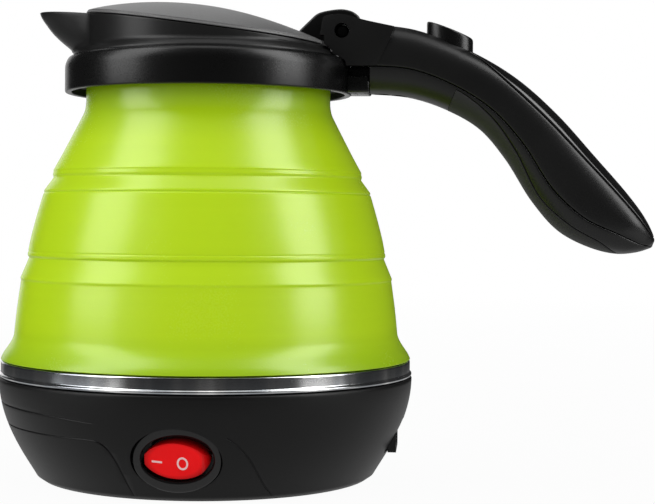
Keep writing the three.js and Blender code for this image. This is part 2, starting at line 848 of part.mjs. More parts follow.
function ringTop(angle, radius = lidRadius) {
  return rimLine(radius * Math.cos(angle)) + spoutLipRise * spoutShape(angle);
}

function spoutRing() {
  const seat = neckTop + gap;
  const beadFoot = collarTop - 2 * gap;
  const outerMouth = collarMouth - gap;
  const bead = collarTop + gap;
  const outer = [
    [outerMouth, seat], [outerMouth, beadFoot - 1.5 * ringWall / 2], [ringBead - gap, beadFoot],
    [ringBead, bead], [ringBead - ringWall / 3, bead + ringWall / 2], [lidRadius + gap, bead + ringWall],
    [lidRadius, bead + 1.6 * ringWall],
  ];
  const spigotInner = ringSpigotRadius - ringWall * 0.75;
  const inner = [
    [lidRadius - ringWall, collarTop], [lidRadius - ringWall, neckTop + 1.2 * ringWall],
    [spigotInner, neckTop + 0.2 * ringWall], [spigotInner, ringSpigotBottom],
    [ringSpigotRadius, ringSpigotBottom], [ringSpigotRadius, seat],
  ];
  const keelFoot = collarTop + 2 * gap;
  const level = (angle, share) => keelFoot + share * (ringTop(angle) - keelFoot);
  const sweep = (angle, z) => {
    const share = Math.min(Math.max((z - keelFoot) / (ringTop(angle) - keelFoot), 0), 1);
    return z < keelFoot ? 0 : spoutReach * keel(share) * spoutShape(angle);
  };
  const angles = ringAngles();
  const at = (angle, r, z, swept = 0) => {
    const reach = r * facetShare(angle) + swept;
    return new THREE.Vector3(reach * Math.cos(angle), reach * Math.sin(angle), z);
  };
  const outerRings = outer.map(([r, z], k) => angles.map((angle) => {
    const height = Math.min(z, ringTop(angle) - rimStep * (outer.length + 4 - k));
    return at(angle, r, height, sweep(angle, height));
  }));
  const shares = [0.5, 0.75, 1];
  const wallRings = shares.map((share, k) => angles.map((angle) => {
    const floor = Math.min(outer[outer.length - 1][1], ringTop(angle) - rimStep * 5);
    const z = Math.max(level(angle, share), floor + rimStep * (k + 1));
    const height = Math.min(z, ringTop(angle) - rimStep * (shares.length - 1 - k));
    return at(angle, lidRadius, height, sweep(angle, height));
  }));
  const troughRings = [1, 0.7, 0.35].map((share) => angles.map((angle) => {
    const z = Math.min(level(angle, share), ringTop(angle, lidRadius - ringWall));
    return at(angle, lidRadius - ringWall, z, sweep(angle, z) * 0.97);
  }));
  const innerRings = inner.map(([r, z]) => angles.map((angle) => at(angle, r, z)));
  return skin([...outerRings, ...wallRings, ...troughRings, ...innerRings], true);
}

// Lid

// Rings over the lid's plan at shares of a radius, each point at a height of its own.
function lidRings(radius, shares, height) {
  const angles = Array.from({ length: turnSteps }, (_, i) => (2 * Math.PI * i) / turnSteps);
  return shares.map((share) => angles.map((angle) => {
    const [x, y] = [radius * share * Math.cos(angle), radius * share * Math.sin(angle)];
    return new THREE.Vector3(x, y, height(x, share));
  }));
}

function domeHeight(x, share, radius, rise) {
  const lean = 1 - lidLeanShare * (Math.max(x, 0) / radius) ** 2;
  return rise * lean * Math.max(1 - share * share, 0) ** lidPowerShare;
}

const domeShares = [0.02, 0.32, 0.58, 0.78, 0.91, 0.98, 1];
const underShares = [0.02, 0.45, 0.78, 0.95, 1];

function lidDome() {
  const foot = (x) => rimLine(x) + gap;
  const edge = lidWall / 2;
  const innerRadius = lidRadius - lidWall;
  const top = lidRings(lidRadius, domeShares, (x, share) => (
    foot(x) + edge + domeHeight(x, share, lidRadius, lidRise - edge)));
  const under = lidRings(innerRadius, underShares, (x, share) => (
    foot(x) + domeHeight(x, share, innerRadius, lidRise - lidWall)));
  const rim = lidRings(lidRadius, [1], (x) => foot(x));
  const dome = skin([...top, ...rim, ...[...under].reverse()]);
  const below = lidRings(innerRadius, [0.02, 1], (x) => foot(x) - overrun);
  const innerDome = skin([...below, ...[...under].reverse()]);
  const knuckle = cut(slab(knuckleOutline(), knuckleHalfWidth), innerDome);
  const cheekFront = hingeX - headFrontShare * archRadius - 2 * gap;
  const notch = box([cheekFront, knuckleHalfWidth, hingeZ - archRadius - overrun],
    [hingeX, headHalfWidth + 2 * gap, hingeZ + archRadius + overrun]);
  const notches = [notch, notch.clone().rotateX(Math.PI).translate(0, 0, 2 * hingeZ)];
  const bore = crossRod(hingeBore, knuckleHalfWidth + overrun, hingeX, hingeZ);
  const springPocket = crossRod(springPocketRadius, springPocketHalf, hingeX, hingeZ);
  return cut(join(cut(dome, ...notches), knuckle), bore, springPocket);
}

// Side view of the hinge knuckle: an arch from the lid over a barrel round the pin.
function knuckleOutline() {
  const [x, z, r, a] = [hingeX, hingeZ, knuckleRadius, archRadius];
  const barrel = Array.from({ length: 10 }, (_, i) => {
    const angle = radians(10 - 18 * i);
    return [x + r * Math.cos(angle), z + r * Math.sin(angle)];
  });
  return [
    [x - 2 * a, z - 0.1 * a], [x - 1.85 * a, z + 0.1 * a], [x - 1.52 * a, z + 0.42 * a],
    [x - 1.12 * a, z + 0.8 * a], [x - 0.8 * a, z + 0.9 * a], [x - 0.4 * a, z + 0.97 * a], [x, z + a],
    [x + 0.43 * a, z + 0.9 * a], [x + 0.74 * a, z + 0.66 * a], [x + 0.78 * a, z + 0.4 * a],
    ...barrel,
    [x - 0.78 * a, z - 0.42 * a], [x - 1.2 * a, z - 0.47 * a], [x - 2 * a, z - 0.5 * a],
  ];
}

const linerRadius = lidRadius - ringWall - linerClearance;

function lidLiner() {
  const low = (x) => rimLine(x) - linerDepth;
  const high = (x) => rimLine(x) + linerRise;
  const grooveTop = (x) => rimLine(x) - sealDrop;
  const grooveFoot = (x) => grooveTop(x) - sealThickness - 2 * gap;
  const grooveShare = (linerRadius - sealDepth) / linerRadius;
  const insideShare = (linerRadius - linerWall) / linerRadius;
  const ring = (share, height) => lidRings(linerRadius, [share], height)[0];
  return skin([
    ring(0.02, low), ring(1, low), ring(1, grooveFoot),
    ring(grooveShare, grooveFoot), ring(grooveShare, grooveTop), ring(1, grooveTop), ring(1, high),
    ring(insideShare, high), ring(insideShare, (x) => low(x) + linerFloor),
    ring(0.02, (x) => low(x) + linerFloor),
  ]);
}

function lidSeal() {
  const top = (x) => rimLine(x) - sealDrop - gap;
  const low = (x) => top(x) - sealThickness;
  const outer = linerRadius + linerClearance - 1.5 * gap;
  const inner = linerRadius - sealDepth + gap;
  const ring = (radius, height) => lidRings(radius, [1], height)[0];
  const lip = (x) => (top(x) + low(x)) / 2;
  return skin([ring(inner, low), ring(outer, lip), ring(inner, top)], true);
}

function hingePin() {
  return crossRod(hingeBore - gap, headHalfWidth - 2 * gap, hingeX, hingeZ);
}

// Torsion spring round the pin, with one leg on the lid's side and one on the handle's.
function lidSpring() {
  const length = 2 * (springPocketHalf - lidSpringWire - gap);
  const line = coilLine(lidSpringRadius, lidSpringTurns, length);
  const tail = (point, reach) => {
    const run = new THREE.Vector3(-point.y, point.x, 0).normalize();
    return point.clone().addScaledVector(run, reach);
  };
  const points = [tail(line[0], -lidSpringWire * 3), ...line, tail(line[line.length - 1], lidSpringWire * 3)];
  console.log('lid spring least gap', leastGap(points, lidSpringWire).toFixed(2));
  return wire(points, lidSpringWire).translate(0, 0, -length / 2).rotateX(Math.PI / 2)
    .translate(hingeX, 0, hingeZ);
}

// Handle

// Upper and lower outlines of the handle, as shares of its length and of how far each of them
// drops. Pairs of points face each other across the grip.
const handleTopShares = [
  [0.087, 0.008], [0.166, 0.029], [0.294, 0.064], [0.459, 0.15], [0.587, 0.259],
  [0.706, 0.408], [0.821, 0.59], [0.919, 0.75], [0.966, 0.841], [0.992, 0.912], [1, 0.954],
];
const handleUnderShares = [
  [0.081, 0], [0.162, 0.001], [0.276, 0.024], [0.385, 0.101], [0.48, 0.218],
  [0.556, 0.403], [0.638, 0.675], [0.716, 0.858], [0.808, 0.96], [0.891, 0.999], [0.98, 0.976],
];
// Places of the three lines between the pieces, as shares of the way from under to top.
const partingShares = [0.336, 0.36, 0.375, 0.36, 0.33, 0.31, 0.28, 0.34, 0.45, 0.52, 0.55];
const padShares = [0.33, 0.33, 0.33, 0.32, 0.24, 0.165, 0.09, 0.14, 0.155, 0.005, -0.2];
const inlayShares = [1.2, 1.2, 1.1, 0.97, 0.83, 0.82, 0.86, 0.88, 0.89, 0.93, 1.1];
const widthShares = [0.99, 0.99, 0.985, 0.98, 1, 1.04, 1.1, 1.1, 1, 0.72, 0.35];

function handleCurve(shares, start) {
  const points = shares.map(([x, z]) => (
    new THREE.Vector3(handleRootX + x * handleLength, 0, start + z * (handleFoot - start))));
  return new THREE.CatmullRomCurve3(points, false, 'centripetal');
}

const handleTop = handleCurve(handleTopShares, handleRootZ);
const handleUnder = handleCurve(handleUnderShares, handleRootZ - handleDepth);

// A value from a table at a share of the handle's run.
function alongHandle(table, t) {
  const place = t * (table.length - 1);
  const low = Math.min(Math.floor(place), table.length - 2);
  return table[low] + (table[low + 1] - table[low]) * (place - low);
}

// The handle's body drawn in by an inset, as a loft of rounded sections.
function handleBody(inset) {
  const rings = [];
  for (let i = 0; i <= handleSteps; i += 1) {
    const t = i / handleSteps;
    const top = handleTop.getPoint(t);
    const under = handleUnder.getPoint(t);
    const half = top.distanceTo(under) / 2 - inset;
    const width = headHalfWidth * alongHandle(widthShares, t) - inset;
    if (half < inset + gap || width < inset + gap) break;
    const middle = top.clone().add(under).divideScalar(2);
    const up = top.clone().sub(under).normalize();
    rings.push(Array.from({ length: handleSides }, (_, j) => {
      const angle = (2 * Math.PI * (j + 0.5)) / handleSides;
      const [c, s] = [Math.cos(angle), Math.sin(angle)];
      const across = Math.sign(c) * Math.abs(c) ** 0.75 * width;
      const rise = Math.sign(s) * Math.abs(s) ** 0.75 * half;
      return middle.clone().addScaledVector(up, rise).add(new THREE.Vector3(0, across, 0));
    }));
  }
  return skin(rings);
}

// The side of a line between the pieces that lies above it, or below it, as a wide slab. The
// slab stops half a parting short of the line, or reaches past it by as much.
function beside(shares, above, past = false) {
  const shift = above === past ? -parting / 2 : parting / 2;
  const line = Array.from({ length: handleSteps + 1 }, (_, i) => {
    const t = i / handleSteps;
    const top = handleTop.getPoint(t);
    const under = handleUnder.getPoint(t);
    const point = under.clone().lerp(top, alongHandle(shares, t));
    const up = top.clone().sub(under).normalize();
    return point.addScaledVector(up, shift);
  });
  const [first, last] = [line[0], line[line.length - 1]];
  const far = handleDrop;
  const side = above ? first.z + far : last.z - far;
  const end = [above ? last.x + far : last.x, side];
  const outline = [[first.x - far, first.z], ...line.map((point) => [point.x, point.z])];
  if (above) outline.push([last.x + far, last.z], end, [first.x - far, side]);
  else outline.push(end, [first.x - far, side]);
  return slab(outline, headHalfWidth * 2);
}

const handleScrewPlaces = [0, 1].map((i) => blockEnd + handleScrewInset + i * handleScrewPitch);

// Side view of the head whose two cheeks hold the hinge pin.
function headOutline() {
  const [x, z, a] = [hingeX, hingeZ, archRadius];
  return [
    [x - headFrontShare * a, z - 0.31 * a], [x - 0.8 * a, z + 0.65 * a], [x - 0.73 * a, z + 0.72 * a],
    [x, z + 0.73 * a], [x + 0.86 * a, z + 0.5 * a], [headEnd, z + 0.37 * a],
    [headEnd, z - 1.5 * a], [x + 0.21 * a, z - 1.47 * a], [x - 0.1 * a, z - 1.07 * a],
  ];
}

// Room kept free round the collar and the ring.
function collarRoom() {
  return revolve([
    [0, collarBottom - overrun], ...collarLine(gap).slice(0, 5),
    [ringBead + gap, collarTop + 2 * gap], [ringBead + gap, collarTop + ringWall],
    [lidRadius + gap, collarTop + 2 * ringWall], [lidRadius + gap, rimHeight - gap],
    [0, rimHeight - gap],
  ]);
}

// Room kept free in the shells round the collar's arm.
function armRoom() {
  return box([collarRadius, -armHalfWidth - gap, armBottom - gap],
    [armEnd + gap, armHalfWidth + gap, armTop + gap]);
}

// The point of an outline of the handle that lies nearest to a place along X.
function onCurve(curve, x) {
  return curve.getPoints(curveSamples).reduce((best, point) => (
    Math.abs(point.x - x) < Math.abs(best.x - x) ? point : best));
}

const buttonSeat = onCurve(handleTop, buttonX);

// Puts a geometry drawn level on the handle's slope at the button, its sides left upright.
function onSlope(geometry) {
  const shear = new THREE.Matrix4().makeShear(0, -buttonSlopeShare, 0, 0, 0, 0);
  return geometry.applyMatrix4(shear).translate(buttonX, 0, buttonSeat.z);
}

// Room for the button: a well through the top wall and, under the wall, space for the flange.
function buttonRoom() {
  const well = plate(oval(buttonHalfLength + gap, buttonHalfWidth + gap), -handleWall - overrun, overrun);
  const reach = buttonFlange + gap;
  const under = -handleWall - gap - buttonFlangeThickness - buttonTravel - gap;
  const space = plate(oval(buttonHalfLength + reach, buttonHalfWidth + reach), under, -handleWall);
  return [onSlope(well), onSlope(space)];
}

function handleUpperShell() {
  const inside = handleBody(handleWall);
  const head = slab(headOutline(), headHalfWidth);
  const body = common(handleBody(0), beside(partingShares, true));
  const recess = cut(handleBody(-overrun), handleBody(skinDepth + gap));
  const seat = common(recess, beside(inlayShares, true, true));
  const interior = common(inside, box([handleOpenX, -headHalfWidth, handleFoot - overrun],
    [handleRootX + handleLength, headHalfWidth, hingeZ + archRadius]));
  const slot = box([handleRootX - overrun, -knuckleHalfWidth - gap, collarBottom],
    [hingeX + archRadius + 3.5 * gap, knuckleHalfWidth + gap, hingeZ + archRadius + overrun]);
  const passage = box([hingeX, -boltHalfWidth - gap, boltBarBottom - gap],
    [headEnd, boltHalfWidth + gap, boltNoseTop + gap]);
  const hole = crossRod(hingeBore, headHalfWidth + overrun, hingeX, hingeZ);
  const stop = common(handleBody(handleWall / 2), box([stopX, -headHalfWidth, boltBarTop + gap],
    [stopX + stopThickness, headHalfWidth, hingeZ + archRadius]));
  const shell = cut(join(cut(body, seat), head), collarRoom(), armRoom(), interior, slot, passage,
    ...buttonRoom());
  return cut(join(shell, stop), hole);
}

function topInlay() {
  const skinPart = cut(handleBody(0), handleBody(skinDepth));
  return cut(common(skinPart, beside(inlayShares, true)), ...buttonRoom());
}

function handleLowerShell() {
  const body = common(handleBody(0), beside(partingShares, false));
  const skinRoom = cut(handleBody(-overrun), handleBody(skinDepth + gap));
  const recess = common(skinRoom, beside(padShares, false, true), padSpan(gap));
  const opening = box([handleRootX - overrun, -2 * headHalfWidth, handleFoot - overrun],
    [handleOpenX, 2 * headHalfWidth, hingeZ]);
  const post = common(rod(springPostRadius, handleFoot, springPostTop, buttonSpringX, 0),
    handleBody(handleWall / 2));
  const shell = join(cut(body, recess, handleBody(handleWall), opening, armRoom()), post);
  return cut(shell, ...handleScrewPlaces.flatMap((x) => [
    rod(screwShank + gap, handleFoot, armBottom + overrun, x, 0),
    rod(handleScrewHead + gap, handleFoot, screwSeat(x) + gap, x, 0),
  ]));
}

// Height of the step that a handle screw's head bears on.
function screwSeat(x) {
  return onCurve(handleUnder, x).z + handleScrewSink;
}

// The stretch of the handle that the grip pad covers, shortened or lengthened by a clearance.
function padSpan(grow) {
  const low = handleRootX + handleLength * handleUnderShares[3][0];
  const high = handleRootX + handleLength * handleUnderShares[9][0];
  return box([low - grow, -2 * headHalfWidth, handleFoot - overrun],
    [high + grow, 2 * headHalfWidth, hingeZ]);
}

function gripPad() {
  const skinPart = cut(handleBody(0), handleBody(skinDepth));
  return common(skinPart, beside(padShares, false), padSpan(0));
}

function handleScrew(x) {
  const seat = screwSeat(x);
  return screw(handleScrewHead, handleScrewSink / 2, screwShank, seat - handleScrewSink / 2, armTop - 2 * gap)
    .translate(x, 0, 0);
}

// Button and bolt

function releaseButton() {
  const flangeTop = -handleWall - gap;
  const flangeFoot = flangeTop - buttonFlangeThickness;
  const crown = onSlope(skin([
    [1, flangeFoot], [1, buttonProud - gap], [0.93, buttonProud],
  ].map(([share, z]) => oval(buttonHalfLength * share, buttonHalfWidth * share)
    .map(([x, y]) => new THREE.Vector3(x, y, z)))));
  const flange = onSlope(plate(
    oval(buttonHalfLength + buttonFlange, buttonHalfWidth + buttonFlange), flangeFoot, flangeTop));
  const restGap = buttonTravel + gap;
  const ramp = boltTailTop + restGap;
  const toe = boltRampX + restGap - gap * Math.SQRT2;
  const height = buttonSeat.z - ramp;
  const foot = slab([[buttonX - buttonHalfLength, ramp], [toe, ramp], [toe + height / 4, ramp + height / 4],
    [toe + height / 4, buttonSeat.z], [buttonX - buttonHalfLength, buttonSeat.z]], boltHalfWidth);
  const ceiling = onSlope(plate(oval(buttonHalfLength, buttonHalfWidth), -handleDrop, 0));
  return join(crown, flange, common(foot, ceiling));
}

function releaseBolt() {
  const outline = [
    [boltNose, boltNoseBottom], [boltNose, boltNoseTop - 2 * gap], [boltNose + 2 * gap, boltNoseTop],
    [boltTowerRight, boltNoseTop], [boltTowerRight, boltBarTop], [boltStepX, boltBarTop],
    [boltStepX, boltTailTop], [boltRampX, boltTailTop],
    [boltRampX + boltRampRise, boltTailTop + boltRampRise], [boltEndX, boltTailTop + boltRampRise],
    [boltEndX, boltTailBottom], [boltStepX - boltRampRise + gap, boltTailBottom],
    [boltStepX - boltRampRise + gap, boltBarBottom], [boltTowerLeft, boltBarBottom],
    [boltTowerLeft, boltNoseBottom],
  ];
  return slab(outline, boltHalfWidth);
}

// A straight coil spring along local Z between two faces.
function pressSpring(label, radius, wireRadius, turns, length) {
  const line = coilLine(radius, turns, length - 2 * wireRadius)
    .map((point) => point.setZ(point.z + wireRadius));
  console.log(`${label} least gap`, leastGap(line, wireRadius).toFixed(2));
  return wire(line, wireRadius);
}

function boltSpring() {
  const length = stopX - boltTowerRight - 2 * gap;
  const middle = (boltBarTop + boltNoseTop) / 2;
  return pressSpring('bolt spring', boltSpringRadius, boltSpringWire, boltSpringTurns, length)
    .rotateY(Math.PI / 2).translate(boltTowerRight + gap, 0, middle);
}

function buttonSpring() {
  const top = buttonSeat.z - buttonSlopeShare * (buttonSpringX - buttonX + buttonSpringRadius)
    - handleWall - gap - buttonFlangeThickness;
  const length = top - springPostTop - 3 * gap;
  return pressSpring('button spring', buttonSpringRadius, buttonSpringWire, buttonSpringTurns, length)
    .translate(buttonSpringX, 0, springPostTop + gap);
}

// Finishes: colour, roughness and metalness as seen on the kettle
const finishes = {
  blackPlastic: [0x1c1c1c, 0.42, 0],
  glossBlack: [0x141414, 0.2, 0],
  softGrip: [0x20201e, 0.7, 0],
  limeSilicone: [0xa5d200, 0.45, 0],
  steel: [0xc8cacc, 0.18, 1],
  zinc: [0xb4b6b8, 0.35, 1],
  aluminium: [0xb0b2b4, 0.5, 1],
  brass: [0xc8a24a, 0.35, 1],
  ceramic: [0xe6e2d8, 0.6, 0],
  redLens: [0xe1191e, 0.25, 0],
  rubber: [0x181818, 0.85, 0],
  clearSilicone: [0xd8d8d2, 0.5, 0],
};

const kettle = new THREE.Group();

function add(name, finish, geometry) {
  const [color, roughness, metalness] = finishes[finish];
  const material = new THREE.MeshStandardMaterial({ color, roughness, metalness });
  const part = fromSolid(toSolid(geometry));
  part.computeVertexNormals();
  const mesh = new THREE.Mesh(part, material);
  mesh.name = name;
  kettle.add(mesh);
}

add('base_housing', 'blackPlastic', baseHousing());
add('base_plate', 'blackPlastic', basePlate());
around(3, footCircle, footStartDegrees).forEach((place, i) => add(`foot_${i + 1}`, 'rubber', foot(place)));
around(3, pillarCircle, pillarStartDegrees).forEach((place, i) => (
  add(`base_screw_${i + 1}`, 'zinc', baseScrew(place))));
add('heater_pot', 'steel', heaterPot());
add('clamp_ring', 'steel', clampRing());
add('heat_spreader', 'aluminium', heatSpreader());
add('heating_element', 'steel', heatingElement());
elementEnds.forEach((place, i) => add(`element_pin_${i + 1}`, 'zinc', coldPin(place)));
add('thermostat', 'ceramic', thermostat());
add('thermostat_bracket', 'zinc', thermostatBracket());
add('switch_body', 'blackPlastic', switchBody());
[-1, 1].forEach((side, i) => add(`switch_terminal_${i + 1}`, 'brass', switchTerminal(side)));
add('rocker', 'redLens', rocker());
add('mains_inlet', 'blackPlastic', mainsInlet());
inletPins.forEach((pin) => add(`inlet_pin_${pin[0]}`, 'brass', inletPin(pin)));
add('lower_sleeve', 'limeSilicone', lowerSleeve());
add('middle_fold', 'limeSilicone', middleFold());
add('upper_sleeve', 'limeSilicone', upperSleeve());
add('collar', 'blackPlastic', collar());
add('spout_ring', 'blackPlastic', spoutRing());
add('lid_dome', 'blackPlastic', lidDome());
add('lid_liner', 'blackPlastic', lidLiner());
add('lid_seal', 'clearSilicone', lidSeal());
add('hinge_pin', 'zinc', hingePin());
add('lid_spring', 'steel', lidSpring());
add('handle_upper_shell', 'blackPlastic', handleUpperShell());
add('handle_lower_shell', 'blackPlastic', handleLowerShell());
add('grip_pad', 'softGrip', gripPad());
add('top_inlay', 'glossBlack', topInlay());
handleScrewPlaces.forEach((x, i) => add(`handle_screw_${i + 1}`, 'zinc', handleScrew(x)));
add('release_button', 'blackPlastic', releaseButton());
add('button_spring', 'steel', buttonSpring());
add('release_bolt', 'blackPlastic', releaseBolt());
add('bolt_spring', 'steel', boltSpring());

export default kettle;
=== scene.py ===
from math import asin, copysign, cos, hypot, pi, radians, sin

import bmesh
import bpy
from mathutils import Matrix, Quaternion, Vector


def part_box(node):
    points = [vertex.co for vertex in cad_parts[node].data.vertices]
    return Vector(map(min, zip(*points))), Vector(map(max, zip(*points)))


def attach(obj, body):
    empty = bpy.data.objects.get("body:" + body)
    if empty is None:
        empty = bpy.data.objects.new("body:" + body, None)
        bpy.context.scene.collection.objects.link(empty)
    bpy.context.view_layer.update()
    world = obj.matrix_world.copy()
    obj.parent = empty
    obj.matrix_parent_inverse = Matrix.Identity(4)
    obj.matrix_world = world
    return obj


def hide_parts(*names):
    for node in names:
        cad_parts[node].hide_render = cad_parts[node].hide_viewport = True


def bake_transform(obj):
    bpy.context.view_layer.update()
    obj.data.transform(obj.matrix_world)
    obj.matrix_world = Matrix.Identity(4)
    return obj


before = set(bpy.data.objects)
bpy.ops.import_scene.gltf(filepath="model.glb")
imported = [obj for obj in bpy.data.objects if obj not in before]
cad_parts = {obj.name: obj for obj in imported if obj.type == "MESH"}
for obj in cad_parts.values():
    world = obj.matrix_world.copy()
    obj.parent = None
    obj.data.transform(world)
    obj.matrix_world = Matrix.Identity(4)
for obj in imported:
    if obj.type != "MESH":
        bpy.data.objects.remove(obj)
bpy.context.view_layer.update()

MM = 0.001
TURN_STEPS = 160
GAP = 0.3
OVERRUN = 3
# Where the profile of a turned solid starts, just off its axis
AXIS = 0.01
X, Y, Z = 0, 1, 2
LOW, HIGH = 0, 1


def reach(node, side, axis):
    """A side of a CAD node's box in millimetres: 0 for its low end and 1 for its high end."""
    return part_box(node)[side][axis] / MM


# Sizes read from the frame

BASE_RADIUS = reach("base_housing", HIGH, X)
BASE_HEIGHT = reach("base_housing", HIGH, Z)
BAND_RADIUS = reach("lower_sleeve", HIGH, X)
BAND_FOOT = BASE_HEIGHT + GAP
BAND_TOP = reach("heater_pot", HIGH, Z)
POT_FLOOR = reach("heater_pot", LOW, Z)
PLATE_RADIUS = reach("base_plate", HIGH, X)
SLEEVE_FOOT = BAND_TOP + GAP
FOLD_LOW = reach("middle_fold", LOW, Z)
FOLD_HIGH = reach("middle_fold", HIGH, Z)
NECK_TOP = reach("upper_sleeve", HIGH, Z)
COLLAR_RADIUS = reach("collar", HIGH, Y)
COLLAR_FOOT = reach("collar", LOW, Z)
COLLAR_TOP = reach("collar", HIGH, Z)
NECK_RADIUS = reach("lid_dome", HIGH, Y)
HINGE_X = (reach("hinge_pin", LOW, X) + reach("hinge_pin", HIGH, X)) / 2
HINGE_Z = (reach("hinge_pin", LOW, Z) + reach("hinge_pin", HIGH, Z)) / 2
HINGE_BORE = (reach("hinge_pin", HIGH, X) - reach("hinge_pin", LOW, X)) / 2 + GAP
HEAD_HALF = reach("hinge_pin", HIGH, Y) + 2 * GAP
INLET_FRONT = reach("mains_inlet", HIGH, X)
INLET_BACK = reach("mains_inlet", LOW, X)
INLET_HALF = reach("mains_inlet", HIGH, Y)
INLET_LOW = reach("mains_inlet", LOW, Z)
INLET_TOP = reach("mains_inlet", HIGH, Z)


# The switch and its rocker

SWITCH_DEPTH_RADIUS = BASE_RADIUS - 7.2
SWITCH_HEIGHT = 12.8
SWITCH_TILT = radians(10)
ROCKER_HALF_WIDTH = 9.7
ROCKER_HALF_HEIGHT = 5.9
ROCKER_FACE_HALF = 5.2
ROCKER_CLEARANCE = 0.8
BARREL_WALL = 1.1
BEZEL_SIDE = 1.55
BEZEL_EDGE = 2.4
BEZEL_THICKNESS = 2
BARREL_DEPTH = 9
WELL_DEPTH = 8.9
WELL_THICKNESS = 0.8
WELL_OVERLAP = 0.2


# Geometry helpers

def rounded(points, radius, steps=4, closed=True):
    """The outline with each corner turned into a short curve, no longer than its edges allow."""
    count = len(points)
    out = []
    for i, point in enumerate(points):
        here = Vector(point[:2])
        size = point[2] if len(point) > 2 else radius
        if size <= 0 or (not closed and i in (0, count - 1)):
            out.append(tuple(here))
            continue
        before = Vector(points[i - 1][:2]) - here
        after = Vector(points[(i + 1) % count][:2]) - here
        run = min(size, before.length * 0.45, after.length * 0.45)
        start = here + before.normalized() * run
        end = here + after.normalized() * run
        for k in range(steps + 1):
            w = k / steps
            out.append(tuple(start * (1 - w) ** 2 + here * 2 * w * (1 - w) + end * w ** 2))
    return out


def mesh_object(name, verts, faces, sharp=40):
    """A mesh from points in millimetres."""
    mesh = bpy.data.meshes.new(name)
    mesh.from_pydata([Vector(v) * MM for v in verts], [], faces)
    mesh.validate()
    tidy = bmesh.new()
    tidy.from_mesh(mesh)
    bmesh.ops.remove_doubles(tidy, verts=tidy.verts, dist=1e-7)
    bmesh.ops.recalc_face_normals(tidy, faces=tidy.faces)
    tidy.to_mesh(mesh)
    tidy.free()
    obj = bpy.data.objects.new(name, mesh)
    bpy.context.scene.collection.objects.link(obj)
    smooth(obj, sharp)
    return obj


def smooth(obj, sharp):
    """Shades the piece smoothly, apart from edges sharper than an angle in degrees."""
    for polygon in obj.data.polygons:
        polygon.use_smooth = True
    obj.data.set_sharp_from_angle(angle=radians(sharp))


def turned(name, profile, steps=TURN_STEPS, centre=(0, 0), sharp=40):
    """A closed (radius, height) profile turned about the upright axis through centre."""
    verts, faces, count = [], [], len(profile)
    for i in range(steps):
        angle = 2 * pi * i / steps
        for r, z in profile:
            verts.append((centre[0] + r * cos(angle), centre[1] + r * sin(angle), z))
    for i in range(steps):
        for j in range(count):
            a, b = i * count + j, i * count + (j + 1) % count
            c, d = ((i + 1) % steps) * count + (j + 1) % count, ((i + 1) % steps) * count + j
            faces.append((a, d, c, b))
    return mesh_object(name, verts, faces, sharp)


def lofted(name, rings, looped=False, sharp=40):
    """A skin over closed rings of equal count, capped at both ends or looped back on itself."""
    count, verts, faces = len(rings[0]), [], []
    for ring in rings:
        verts.extend(ring)
    for i in range(len(rings) if looped else len(rings) - 1):
        k = (i + 1) % len(rings)
        for j in range(count):
            n = (j + 1) % count
            faces.append((i * count + j, i * count + n, k * count + n, k * count + j))
    if not looped:
        faces.append(tuple(reversed(range(count))))
        faces.append(tuple(range((len(rings) - 1) * count, len(rings) * count)))
    return mesh_object(name, verts, faces, sharp)


def prism(name, outline, low, high, axis=Z):
    """An outline carried along an axis, from one place on it to another."""
    return lofted(name, [[(*point[:axis], place, *point[axis:]) for point in outline]
                         for place in (low, high)])


def slab(name, outline, half):
    """An (x, z) outline carried the same way to both sides of the middle plane."""
    return prism(name, outline, -half, half, Y)


def block(name, low, high):
    """A box between two corners."""
    corners = [(low[0], low[1]), (high[0], low[1]), (high[0], high[1]), (low[0], high[1])]
    return prism(name, corners, low[2], high[2])


def oval(half_x, half_y, steps=72, centre=(0, 0)):
    """Points round an oval, or round a circle where both halves are alike."""
    turns = [2 * pi * i / steps for i in range(steps)]
    return [(centre[0] + half_x * cos(turn), centre[1] + half_y * sin(turn)) for turn in turns]


def lens_outline(half_x, half_y, power=0.82, steps=96):
    """An oval drawn out to soft points at its left and right."""
    outline = oval(1, 1, steps)
    return [(half_x * x, half_y * copysign(abs(y) ** (1 / power), y)) for x, y in outline]


def plug(radius, low, high, centre, steps=48):
    """An upright round solid that cuts a hole or a seat."""
    return turned("plug", [(AXIS, low), (radius, low), (radius, high), (AXIS, high)], steps, centre)


def placed(obj, place, angle=0, axis="Z"):
    """Turns a piece about its own axis and carries it to its place."""
    obj.data.transform(Matrix.Translation(Vector(place) * MM) @ Matrix.Rotation(angle, 4, axis))
    return obj


def settle(obj, sharp=40):
    """Applies the piece's modifiers to its mesh."""
    bpy.context.view_layer.update()
    graph = bpy.context.evaluated_depsgraph_get()
    mesh = bpy.data.meshes.new_from_object(obj.evaluated_get(graph))
    old = obj.data
    obj.modifiers.clear()
    obj.data = mesh
    mesh.name = obj.name
    bpy.data.meshes.remove(old)
    smooth(obj, sharp)
    return obj


def carve(obj, *cutters, operation="DIFFERENCE", sharp=40):
    """Cuts the other solids from the piece, joins them to it or keeps what they share."""
    for cutter in cutters:
        boolean = obj.modifiers.new("carve", "BOOLEAN")
        boolean.operation = operation
        boolean.solver = "EXACT"
        boolean.object = cutter
        settle(obj, sharp)
        bpy.data.objects.remove(cutter)


def softened(obj, width, segments=2, angle=35, sharp=40):
    """Rounds the piece's sharp edges by a small width."""
    bevel = obj.modifiers.new("edges", "BEVEL")
    bevel.width = width * MM
    bevel.segments = segments
    bevel.limit_method = "ANGLE"
    bevel.angle_limit = radians(angle)
    return settle(obj, sharp)


# Materials

